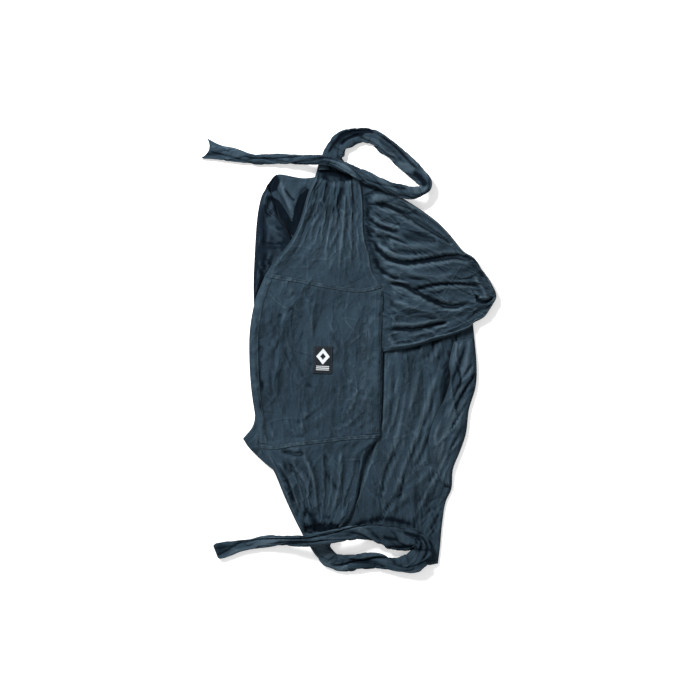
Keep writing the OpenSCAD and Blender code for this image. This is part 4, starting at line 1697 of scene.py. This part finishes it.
    def run_of_cloth(self) -> tuple[np.ndarray, tuple[int, int]]:
        """Lay, fold and settle the whole sash as one grid.

        Returns:
            The grid, and the rows of its two seams.
        """
        step = self.spacing
        upper = self.stretch(self.upper_left, self.upper_right, self.neck, self.top_seam, step)
        pocket = self.stretch(self.pocket_left, self.pocket_right, self.top_seam, self.bottom_seam, step)
        lower = self.stretch(self.lower_left, self.lower_right, self.bottom_seam, self.foot, step)
        xy = np.concatenate([upper, pocket[1:], lower[1:]])
        rows, columns = xy.shape[:2]
        first, second = len(upper) - 1, len(upper) + len(pocket) - 2
        x, y = xy[..., 0], xy[..., 1]
        i = np.broadcast_to(np.arange(rows)[:, None], (rows, columns)).astype(float)
        u = np.broadcast_to(np.linspace(0, 1, columns)[None, :], (rows, columns))
        up = np.clip(1 - i / first, 0, 1)
        down = np.clip((i - second) / (rows - 1 - second), 0, 1)
        in_pocket = ease((i - first) / 3) * ease((second - i) / 3)
        base = layer_floor("sash_upper_panel")
        raw = 0.0022 + in_pocket * 0.0012
        raw += (
            gathers(u, up * 1.5, 6, 0.0066 * up**0.6, 83)
            + gathers(u, up * 2.5, 13, 0.0014 * up**0.4, 87))
        raw += (
            gathers(u, down * 1.5, 5, 0.0062 * down**0.7, 85)
            + gathers(u, down * 2, 11, 0.0012 * down**0.4, 89))
        crease = heights_of(self.pocket_creases, x, y)
        raw += crease * (0.45 + 0.55 * in_pocket) + heights_of(self.folds, x, y)
        seam = np.exp(-((i - first) / 1.3) ** 2) + np.exp(-((i - second) / 1.3) ** 2)
        raw = raw * (1 - 0.65 * seam)
        fall = edge_fall(rows, columns, step, 0.007)
        to_right = np.arange(columns)[::-1][None, :] * step
        reach = 0.012 + 0.030 * ease(down * 4)
        fall = np.minimum(fall, np.sin(np.clip(to_right / reach, 0, 1) * math.pi / 2))
        fall[:3] = np.maximum(fall[:3], fall[4])
        fall[-3:] = np.maximum(fall[-3:], fall[-5])
        z = base + 0.0009 + np.clip(raw, 0.0002, None) * fall
        sunk = ease((i - first * 0.6) / (first * 0.4))
        sunk = sunk * (1 - np.sin(np.clip(to_right / 0.024, 0, 1) * math.pi / 2))
        z = z - (0.0021 + 0.0009 * ease(down * 6)) * sunk
        pins = rim_pins(rows, columns)
        pins = np.maximum(pins, np.round(np.clip(seam, 0, 1), 1) * 0.8)
        grid = settle(with_height(xy, z), base - 0.0020, 0.042, 84, 30, 0.009, pins)
        grid = refined(grid, self.finer)
        x, y = grid[..., 0], grid[..., 1]
        inner = edge_fall(*x.shape, 1.0, 7.0)
        again = self.small_creases.heights(x, y) + 0.75 * heights_of(self.folds, x, y)
        loft = 0.0024 + 0.0011 * value_noise(x, y, 0.055, 97) + 0.0006 * value_noise(x, y, 0.024, 98)
        rise = grid[..., 2] + (again + loft) * inner - base
        from_left = np.arange(x.shape[1]) * step / self.finer
        from_right = from_left[::-1]
        flat_hem = ease(np.minimum(from_left, from_right) / 0.013)
        hem_height = 0.0012 + 0.0012 * inner - 0.0013 * (1 - ease(from_right / 0.012))
        hemmed = rise * flat_hem + hem_height * (1 - flat_hem)
        low_wing = ease((-0.17 - y) / 0.02) * (np.arange(x.shape[1]) > x.shape[1] / 2)
        rise = hemmed * (1 - low_wing) + rise * low_wing
        low = 0.0013 - 0.0031 * (1 - np.clip(inner, 0, 1))
        grid[..., 2] = base + np.maximum(softly_capped(rise + 0.002, 0.0145) - 0.002, low)
        return grid, (self.finer * first, self.finer * second)

    @staticmethod
    def stretch(left: Points, right: Points, top: Points, bottom: Points, step: float) -> np.ndarray:
        """Lay one stretch of the sash, with the same columns as the others."""
        columns = round(0.262 / step)
        run = np.linalg.norm(np.diff(plan(left), axis=0), axis=1).sum()
        return span_surface(plan(left), plan(right), plan(top), plan(bottom), columns, round(run / step))

    def pocket_back(self, grid: np.ndarray) -> None:
        """Build the pocket's back layer, flat under its front."""
        flat = grid[2:-2:2, 6:-8:2].copy()
        flat[..., 2] = layer_floor("pocket_back") - 0.0002
        cloth = Cloth(flat)
        piece = cloth.laid("pocket_back", self.wardrobe.inside, Body.SASH, 0.0006)

    def sewn_pieces(self, cloth: Cloth, top: int, bottom: int) -> dict[str, list[bpy.types.Object]]:
        """Build what is sewn to the sash.

        Args:
            cloth: The whole sash.
            top: Row of the upper seam.
            bottom: Row of the lower seam.

        Returns:
            The pieces that go with the upper wing, the pocket and the lower wing.
        """
        columns = cloth.grid.shape[1]
        step = self.spacing / self.finer
        seams = [
            self.seam(cloth, top, "pocket_top_seam"), self.seam(cloth, bottom, "pocket_bottom_seam")]
        threads = [self.seam_line(cloth, row + side * 2.5 * MM / step)
                   for row in (top, bottom) for side in (-1, 1)]
        seam_threads = ride(joined("pocket_seam_stitches", threads), Body.SASH, "seam_threads")
        left = self.side_strip(cloth, top, bottom, 0.6, 18 * MM / step, "side_hem_left")
        outer = columns - 1.6
        right = self.side_strip(cloth, top, bottom, outer - 30 * MM / step, outer, "side_band_right")
        lines = [
            self.side_line(cloth, top, bottom, 16 * MM / step),
            self.side_line(cloth, top, bottom, columns - 1 - 5 * MM / step),
            self.side_line(cloth, top, bottom, columns - 1 - 28 * MM / step)]
        side_threads = ride(joined("pocket_side_stitches", lines), Body.SASH, "side_threads")
        tacks = self.bar_tacks(cloth, top, bottom)
        label, border = self.label(cloth)
        return {
            "upper": [seams[0]],
            "pocket": [seam_threads, left, right, side_threads, tacks, label, border],
            "lower": [seams[1]],
        }

    def seam(self, cloth: Cloth, row: int, node: str) -> bpy.types.Object:
        """Build one felled seam: a puckered ridge across the sash."""
        columns = cloth.grid.shape[1]
        half = 5 * MM / (self.spacing / self.finer)
        across = np.linspace(1.0, columns - 2.0, 300)
        i, j = np.meshgrid(np.linspace(row - half, row + half, 9), across, indexing="ij")
        strip = raised_strip(cloth, i, j, 0.0012)
        pucker = value_noise(strip.x, strip.y, 0.006, 91)
        strip.grid[..., 2] += 0.0005 * pucker
        # Raised puckers are painted lighter and low ones darker: painted highlight and shade.
        strip.relief_shading = np.clip(strip.relief_shading + 0.22 * pucker, 0, 1)
        return strip.laid(node, self.wardrobe.hem, Body.SASH, 0.0008)

    def seam_line(self, cloth: Cloth, row: float) -> bpy.types.Object:
        """Sew one line of topstitching along a seam."""
        columns = cloth.grid.shape[1]
        line = cloth.sample(np.full(240, row), np.linspace(1.5, columns - 2.5, 240))
        line[:, 2] += 0.0016
        return topstitch("seam_line", line, self.wardrobe.thread)

    def side_strip(
        self, cloth: Cloth, top: int, bottom: int, first: float, last: float, node: str
    ) -> bpy.types.Object:
        """Build a hem or band down one side of the pocket."""
        clear = 6 * MM / (self.spacing / self.finer)
        i, j = np.meshgrid(
            np.linspace(top + clear, bottom - clear, 220), np.linspace(first, last, 13), indexing="ij")
        strip = raised_strip(cloth, i, j, 0.0006)
        pucker = value_noise(strip.x * 0.6, strip.y, 0.008, 95)
        strip.grid[..., 2] += 0.0004 * pucker
        # Raised puckers are painted lighter and low ones darker: painted highlight and shade.
        strip.relief_shading = np.clip(strip.relief_shading + 0.12 * pucker, 0, 1)
        return strip.laid(node, self.wardrobe.hem, Body.SASH, 0.0006)

    def side_line(self, cloth: Cloth, top: int, bottom: int, column: float) -> bpy.types.Object:
        """Sew one line of topstitching down a side."""
        clear = 8 * MM / (self.spacing / self.finer)
        line = cloth.sample(np.linspace(top + clear, bottom - clear, 260), np.full(260, column))
        line[:, 2] += 0.0008
        return topstitch("side_line", line, self.wardrobe.thread, 0.0006)

    def bar_tacks(self, cloth: Cloth, top: int, bottom: int) -> bpy.types.Object:
        """Sew a short dense bar at each end of each side hem."""
        columns = cloth.grid.shape[1]
        step = self.spacing / self.finer
        inset = 16 * MM / step
        bars = []
        for row in (top + inset, bottom - inset):
            for column in (7 * MM / step, columns - 1 - 9 * MM / step):
                line = cloth.sample(np.linspace(row - 2, row + 2, 8), np.full(8, column))
                line[:, 2] += 0.0017
                bars.append(
                    stitches("bar", line, self.wardrobe.thread, 0.0022, 0.0008, 0.0006, math.pi / 2))
        return ride(joined("bar_tack_stitches", bars), Body.SASH, "bar_tacks")

    def label(self, cloth: Cloth) -> tuple[bpy.types.Object, bpy.types.Object]:
        """Build the woven label and the stitches round it.

        The mark is a plain lozenge over three bars, worked out from the label's own two
        coordinates.

        Args:
            cloth: The whole sash.

        Returns:
            The label and its stitches.
        """
        low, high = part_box("label")
        centre = ((low[0] + high[0]) / 2, (low[1] + high[1]) / 2)
        width, length, tilt = 0.038, 0.055, math.radians(-2)
        a, b = np.meshgrid(np.linspace(-1, 1, 61), np.linspace(1, -1, 87))
        x = centre[0] + (a * width * math.cos(tilt) - b * length * math.sin(tilt)) / 2
        y = centre[1] + (a * width * math.sin(tilt) + b * length * math.cos(tilt)) / 2
        z = self.height_at(cloth, x, y) + 0.0016 - 0.0005 * (np.abs(a) ** 6 + np.abs(b) ** 8)
        lozenge = (np.abs(a) / 0.70 + np.abs(b - 0.26) / 0.58) < 1
        hollow = (np.abs(a) / 0.30 + np.abs(b - 0.26) / 0.25) < 1
        foot = b + 0.58
        bars = (np.abs((foot / 0.13 + 0.5) % 1 - 0.5) < 0.24) & (np.abs(foot) < 0.2) & (np.abs(a) < 0.68)
        pale = ((lozenge & ~hollow) | bars).astype(float)
        grid = np.stack([x, y, z], axis=2)
        piece = Cloth(grid).laid("label", self.wardrobe.label, Body.SASH, 0.0008)
        attribute = piece.data.attributes.new("pale", "FLOAT", "POINT")
        attribute.data.foreach_set("value", np.tile(pale.ravel(), 2).astype(np.float32))
        inset = 3
        rim = grid[inset:-inset, inset:-inset]
        loop = np.concatenate([rim[0, :-1], rim[:-1, -1], rim[-1, :0:-1], rim[:0:-1, 0], rim[:1, 0]])
        loop[:, 2] += 0.0003
        border = stitches("label_stitches", loop, self.wardrobe.thread, 0.0024, 0.0032, 0.0006)
        return piece, ride(border, Body.SASH, "label_threads")

    @staticmethod
    def height_at(cloth: Cloth, x: np.ndarray, y: np.ndarray) -> np.ndarray:
        """Height of the sheet under plan points, from the nearest grid points by distance.

        Args:
            cloth: The sheet.
            x: Plan x of the points.
            y: Plan y of the points.

        Returns:
            The mean of the heights around each point, weighted by nearness.
        """
        reach, margin = 0.0022, 0.012
        near = (
            (np.abs(cloth.x - x.mean()) < np.ptp(x) / 2 + margin)
            & (np.abs(cloth.y - y.mean()) < np.ptp(y) / 2 + margin))
        px, py, pz = cloth.x[near], cloth.y[near], cloth.z[near]
        gap2 = (x.reshape(-1, 1) - px) ** 2 + (y.reshape(-1, 1) - py) ** 2
        weight = np.exp(-gap2 / (2 * reach**2)) + TINY
        return ((weight * pz).sum(1) / weight.sum(1)).reshape(x.shape)


@dataclass(frozen=True)
class Slit:
    """A gap between two laps of a rolled tie, cut down into the roll and painted dark as shade.

    Attributes:
        start: Where it begins, as a share of the tie's length.
        end: Where it ends.
        across: Its place across the tie at both ends and evenly between, -1 to 1.
        width: Its half width, as a share of the tie's half width.
        depth: How deep it is, as a share of the tie's half height.
    """

    start: float
    end: float
    across: tuple[float, ...]
    width: float
    depth: float

    def cut(self, t: np.ndarray, level: np.ndarray) -> np.ndarray:
        """Depth of the gap: a bell across the tie, eased in and out along it.

        Args:
            t: Share of the tie's length.
            level: Place across the tie.

        Returns:
            The depth at each sample, 0 to 1 times depth.
        """
        run = (t - self.start) / (self.end - self.start)
        centre = np.interp(run, np.linspace(0, 1, len(self.across)), self.across)
        window = ease(run / 0.22) * ease((1 - run) / 0.22)
        return self.depth * window * np.exp(-np.abs((level - centre) / self.width) ** 2.4)


@dataclass
class Tie:
    """One end of the sash, rolled into a soft tie that runs round a loop and back over itself.

    Attributes:
        wardrobe: The finishes.
        name: Start of its pieces' names.
        path: Stations of x, y, height of the middle, width and height, in millimetres.
        swing: Station at which the tail turns.
        tail: The tail's body.
        edges: Where the cloth's free edge lies across the tie at even steps, -1 to 1.
        open_at: Runs where the lap stands open, as (middle, half length, amount).
        seed: Chooses the wrinkles.
        slits: The dark gaps between its laps.
        lies_on: The piece that it lies on; not used.
        across: Points across the cloth.
        step: Distance between points along it.
        lap: How much further than once round the cloth is rolled, in turns.
        notch: How far the middle of the end is drawn in.
        samples: Samples between two stations.
        bend: Length over which the tail bends, in metres; not used.
    """

    wardrobe: Wardrobe
    name: str
    path: Points
    swing: int
    tail: Body
    edges: Sequence[float]
    open_at: Sequence[tuple[float, float, float]]
    seed: int
    slits: Sequence[Slit] = ()
    lies_on: str = "sash_upper_cloth"
    across: int = 84
    step: float = 0.0022
    lap: float = 0.16
    notch: float = 0.0
    samples: int = 24
    bend: float = 0.05

    def build(self) -> None:
        """Build the loop and the tail."""
        stations = smooth_curve(plan(self.path), self.samples)
        run = running_length(stations[:, :2])
        turn = run[self.swing * self.samples]
        before = np.linspace(0, turn, max(2, round(turn / self.step)))
        after = np.linspace(turn, run[-1], max(2, round((run[-1] - turn) / self.step)))
        lengths = np.concatenate([before, after[1:]])
        rail = along_line(stations, run, lengths)
        grid, relief_shading = self.rolled(rail, lengths)
        split = len(before) - 1
        loop = Cloth(grid[: split + 1], relief_shading[: split + 1])
        tail = Cloth(grid[split:], relief_shading[split:])
        node = self.name
        piece = ride(
            loop.piece(f"{node}_loop_cloth", self.wardrobe.jersey), Body.SASH,
            f"{node}_band", f"{node}_return")
        end = tail.piece(f"{node}_tail_cloth", self.wardrobe.jersey)
        fill_slot(end, f"{node}_tail", f"{node}_end_hem")
        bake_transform(end)
        LOG.info("%s bends from %s to %s", end.name, Body.SASH.value, self.tail.value)

    def rolled(self, rail: np.ndarray, lengths: np.ndarray) -> tuple[np.ndarray, np.ndarray]:
        """Roll the cloth about the path.

        Across the tie the cloth runs a little more than once round a flattened oval, starting on
        top; its radius grows as it goes, so that the outer lap lies over the inner one, and long
        wrinkles ripple it.

        Args:
            rail: Rows of x, y, z, width and height along the tie.
            lengths: Distance of each row along the tie.

        Returns:
            The grid of points and their relief, which paints shade into the pleats, the slits and
            under the outer lap's edge, and a highlight on the roll's upper side.
        """
        along = np.gradient(rail[:, :2], axis=0)
        along /= np.linalg.norm(along, axis=1, keepdims=True)
        side = np.stack([-along[:, 1], along[:, 0]], axis=1)
        t = (lengths / lengths[-1])[:, None]
        s = np.linspace(0, 1, self.across)[None, :]
        edge = np.interp(t[:, 0], np.linspace(0, 1, len(self.edges)), self.edges)[:, None]
        start = np.arccos(np.clip(edge, -0.95, 0.95))
        angle = start + s * 2 * math.pi * (1 + self.lap)
        opening = sum(
            amount * np.exp(-(((t - middle) / half) ** 2)) for middle, half, amount in self.open_at)
        grow = 0.86 + 0.16 * s + opening * ease((s - 0.86) / 0.14) * 0.5
        far = t * lengths[-1]
        streak = value_noise(s * 6 + 2.2 * np.sin(t * 7), far / 0.075 + 0 * s, 1.0, self.seed)
        fine = value_noise(s * 13 + 3.0 * np.sin(t * 5), far / 0.045 + 0 * s, 1.0, self.seed + 1)
        pucker = value_noise(s * 3 + far / 0.09, far / 0.013 + 0 * s, 1.0, self.seed + 2)
        heading = np.unwrap(np.arctan2(along[:, 1], along[:, 0]))
        bend = np.clip(np.abs(np.gradient(heading, lengths)) * 0.022, 0, 1)
        bend = np.convolve(bend, np.ones(9) / 9, mode="same")[:, None]
        pleat = np.exp(-((streak / 0.17) ** 2)) + 0.6 * np.exp(-((fine / 0.2) ** 2))
        across_pleat = np.exp(-((pucker / 0.24) ** 2)) * (0.25 + 1.1 * bend)
        radius = grow * (1 + 0.17 * streak + 0.08 * fine - 0.24 * pleat - 0.16 * across_pleat)
        level = np.sign(np.cos(angle)) * np.abs(np.cos(angle)) ** 0.8 * radius
        up = np.sign(np.sin(angle)) * np.abs(np.sin(angle)) ** 0.85 * radius
        flatten = np.where(up > 0, 1.0, 0.92)
        half_w, half_h = rail[:, 3:4] / 2, rail[:, 4:5] / 2
        gap = sum(slit.cut(t, level) for slit in self.slits) * (up > 0) + 0 * level
        up = up * (1 - np.clip(gap, 0, 1.25))
        grid = np.empty((len(rail), self.across, 3))
        grid[..., :2] = rail[:, None, :2] + side[:, None, :] * (level * half_w)[..., None]
        drawn = self.notch * ease((t - 0.93) / 0.07) * (1 - np.clip(level, -1, 1) ** 2)
        grid[..., :2] -= along[:, None, :] * drawn[..., None]
        grid[..., 2] = rail[:, 2:3] + up * half_h * flatten
        grid[..., 2] = np.maximum(grid[..., 2], 0.0016)
        # Painted shade in the pleats, the slits and along the inner edge under the outer lap, and painted
        # highlight on the roll's upper side.
        ripple = 0.66 + 0.26 * streak + 0.18 * fine - 0.52 * pleat - 0.40 * across_pleat
        ripple = ripple - 0.45 * np.exp(-(((s - 0.03) / 0.03) ** 2)) + 0.10 * np.sin(np.clip(angle, 0, 7))
        return grid, np.clip(ripple - 0.9 * gap, 0, 1)


class Studio:
    """The floor, lights and camera."""

    def __init__(self, wardrobe: Wardrobe) -> None:
        """Set up the studio.

        Args:
            wardrobe: The finishes.
        """
        side = 24.0
        corners = np.array([[-side, -side, 0], [side, -side, 0], [side, side, 0], [-side, side, 0]])
        floor = new_piece("studio_floor", corners, np.array([[0, 1, 2, 3]]), wardrobe.floor)
        bpy.context.scene.view_settings.view_transform = "Standard"
        self.world()
        self.lamp("window_light", (-1.7, 2.0, 2.05), 0.8, 219.0)
        self.lamp("fill_light", (1.8, -1.2, 2.4), 2.4, 10.0)
        self.camera()

    @staticmethod
    def world() -> None:
        """Surround the scene with even white light."""
        world = bpy.data.worlds.new("studio_air")
        world.use_nodes = True
        background = world.node_tree.nodes["Background"]
        background.inputs["Color"].default_value = (1.0, 1.0, 1.0, 1.0)
        background.inputs["Strength"].default_value = 0.36
        bpy.context.scene.world = world

    @staticmethod
    def lamp(name: str, place: tuple[float, float, float], size: float, power: float) -> None:
        """Hang a square soft light that faces the middle of the floor."""
        data = bpy.data.lights.new(name, "AREA")
        data.size = size
        data.energy = power
        lamp = bpy.data.objects.new(name, data)
        lamp.location = place
        x, y, z = place
        tilt, heading = math.acos(z / math.hypot(x, y, z)), math.atan2(y, x)
        lamp.rotation_euler = (tilt, 0.0, heading + math.pi / 2)
        bpy.context.scene.collection.objects.link(lamp)

    @staticmethod
    def camera() -> None:
        """Look straight down at the middle of the carrier."""
        height, view_width, sensor = 3.4, 1.4, 36.0
        data = bpy.data.cameras.new("overhead")
        data.sensor_width = sensor
        data.lens = sensor * height / view_width
        camera = bpy.data.objects.new("overhead", data)
        camera.location = (0.0, 0.0, height)
        bpy.context.scene.collection.objects.link(camera)
        bpy.context.scene.camera = camera


@dataclass(frozen=True)
class Levels:
    """Heights of the middle of a tie, in millimetres, on what it crosses.

    Attributes:
        floor: On the floor.
        over_long: On the long loop.
        over_sash: On the sash's wings.
        neck: Where the wings narrow into the ties.
    """

    floor: float
    over_long: float
    over_sash: float
    neck: float

    @classmethod
    def measured(cls) -> "Levels":
        """Take the heights from the CAD's layers."""
        return cls(
            floor=6.0,
            over_long=layer_floor("long_loop_end_hem") / MM + 8.0,
            over_sash=layer_top("upper_tie_return") / MM - 6.2,
            neck=layer_floor("sash_upper_panel") / MM + 4.0)


def upper_tie(wardrobe: Wardrobe, at: Levels) -> Tie:
    """The tie at the sash's upper end, whose tail runs out to the left."""
    return Tie(
        wardrobe, "upper_tie",
        (
            (-32, 358, at.neck, 62, 7), (-32, 372, at.neck, 54, 8), (-31, 392, at.floor + 2, 46, 12),
            (-16, 417, at.floor, 42, 12), (16, 428, at.floor, 34, 12), (50, 423, at.floor, 34, 12),
            (82, 400, at.floor, 36, 12), (112, 371, at.floor, 34, 12), (138, 348, at.floor + 4, 32, 12),
            (150, 332, at.over_long, 30, 12), (144, 317, at.over_long + 6, 28, 12),
            (124, 311, at.over_sash, 27, 12), (95, 318, at.over_sash, 27, 12),
            (55, 331, at.over_sash, 26, 12), (25, 344, at.over_sash, 25, 12),
            (-5, 359, at.over_sash, 24, 12), (-45, 376, at.over_sash, 24, 12),
            (-73, 378, at.over_sash - 2, 24, 12), (-107, 379, at.over_long + 2, 24, 12),
            (-153, 381, at.floor + 1, 28, 11), (-195, 380, at.floor, 22, 11),
            (-233, 388, at.floor - 1, 30, 9), (-267, 396, at.floor - 1, 32, 9),
            (-291, 403, at.floor - 1, 42, 8)),
        16, Body.UPPER_TAIL,
        (0.5, 0.2, -0.6, -0.7, 0.3, 0.6, 0.4, -0.3, -0.5, 0.2, 0.5, -0.2, 0.3, 0.6),
        ((0.10, 0.03, 0.8), (0.26, 0.07, 0.7), (0.93, 0.04, 0.5)), 101,
        (
            Slit(0.075, 0.180, (0.35, 0.55, 0.62), 0.25, 1.15), Slit(0.07, 0.145, (-0.25, 0.05), 0.18, 1.0),
            Slit(0.175, 0.345, (0.40, 0.50, 0.45, 0.30), 0.13, 1.0),
            Slit(0.185, 0.29, (-0.10, 0.0, -0.15), 0.10, 0.6),
            Slit(0.315, 0.385, (-0.15, -0.25), 0.34, 1.1), Slit(0.04, 0.09, (0.5, 0.2), 0.12, 0.6),
            Slit(0.43, 0.56, (-0.45, 0.1, 0.35), 0.09, 0.5), Slit(0.56, 0.70, (0.5, 0.2, 0.55), 0.10, 0.55),
            Slit(0.72, 0.90, (-0.5, 0.0, -0.3), 0.11, 0.6), Slit(0.87, 1.02, (0.4, 0.1), 0.12, 0.6),
        ), notch=0.011)


def lower_tie(wardrobe: Wardrobe, at: Levels) -> Tie:
    """The tie at the sash's lower end, whose loop lies on the long loop's lower edge."""
    return Tie(
        wardrobe, "lower_tie",
        (
            (-59, -366, at.neck, 60, 7), (-58, -382, at.neck - 2, 48, 8), (-53, -400, at.floor + 1, 34, 12),
            (-35, -420, at.floor, 34, 12), (0, -425, at.floor, 36, 12), (50, -421, at.floor + 1, 36, 12),
            (88, -425, at.over_long - 4, 28, 12), (120, -420, at.over_long, 34, 12),
            (143, -400, at.over_long, 44, 12), (134, -376, at.over_long, 48, 12),
            (98, -374, at.over_long, 58, 12), (62, -366, at.over_long, 50, 12),
            (31, -361, at.over_long + 3, 34, 12), (2, -363, at.over_sash - 3, 28, 12),
            (-27, -368, at.over_sash, 26, 12), (-57, -373, at.over_sash, 24, 12),
            (-87, -376, at.over_sash, 24, 12), (-129, -377, at.over_long + 4, 24, 12),
            (-165, -381, at.floor + 2, 24, 12), (-209, -387, at.floor, 24, 11),
            (-245, -395, at.floor, 33, 10), (-262, -399, at.floor, 35, 10),
            (-268, -401, at.floor, 28, 9)),
        16, Body.LOWER_TAIL,
        (-0.4, 0.3, 0.5, -0.2, -0.6, 0.5, 0.6, 0.2, -0.3, -0.5, 0.1, 0.4, 0.5, 0.2),
        ((0.36, 0.05, 0.9), (0.16, 0.04, 0.5), (0.97, 0.05, 0.8)), 111,
        (
            Slit(0.08, 0.27, (-0.65, 0.10, 0.35, 0.80), 0.12, 1.0), Slit(0.13, 0.22, (0.55, 0.0), 0.11, 0.7),
            Slit(0.35, 0.45, (0.35, -0.1, -0.45), 0.11, 1.0), Slit(0.34, 0.41, (-0.5, -0.35), 0.10, 0.8),
            Slit(0.40, 0.49, (0.78, 0.85), 0.26, 1.1),
            Slit(0.41, 0.96, (-0.70, -0.80, -0.78, -0.45, -0.20, -0.50, -0.30), 0.085, 0.95),
            Slit(0.455, 0.51, (0.1, 0.2), 0.12, 0.5), Slit(0.945, 1.09, (0.1, 0.0), 0.55, 0.45),
            Slit(0.66, 0.86, (0.45, 0.30, 0.50), 0.09, 0.5),
        ), "sash_lower_cloth")


def main() -> None:
    """Build the carrier."""
    logging.basicConfig(level=logging.INFO, format="%(message)s")
    wardrobe = Wardrobe()
    Studio(wardrobe)
    for part in (LongLoop, LoopFolds, ShortLoop, Sash):
        part(wardrobe).build()
    levels = Levels.measured()
    upper_tie(wardrobe, levels).build()
    lower_tie(wardrobe, levels).build()


if __name__ == "__main__":
    main()
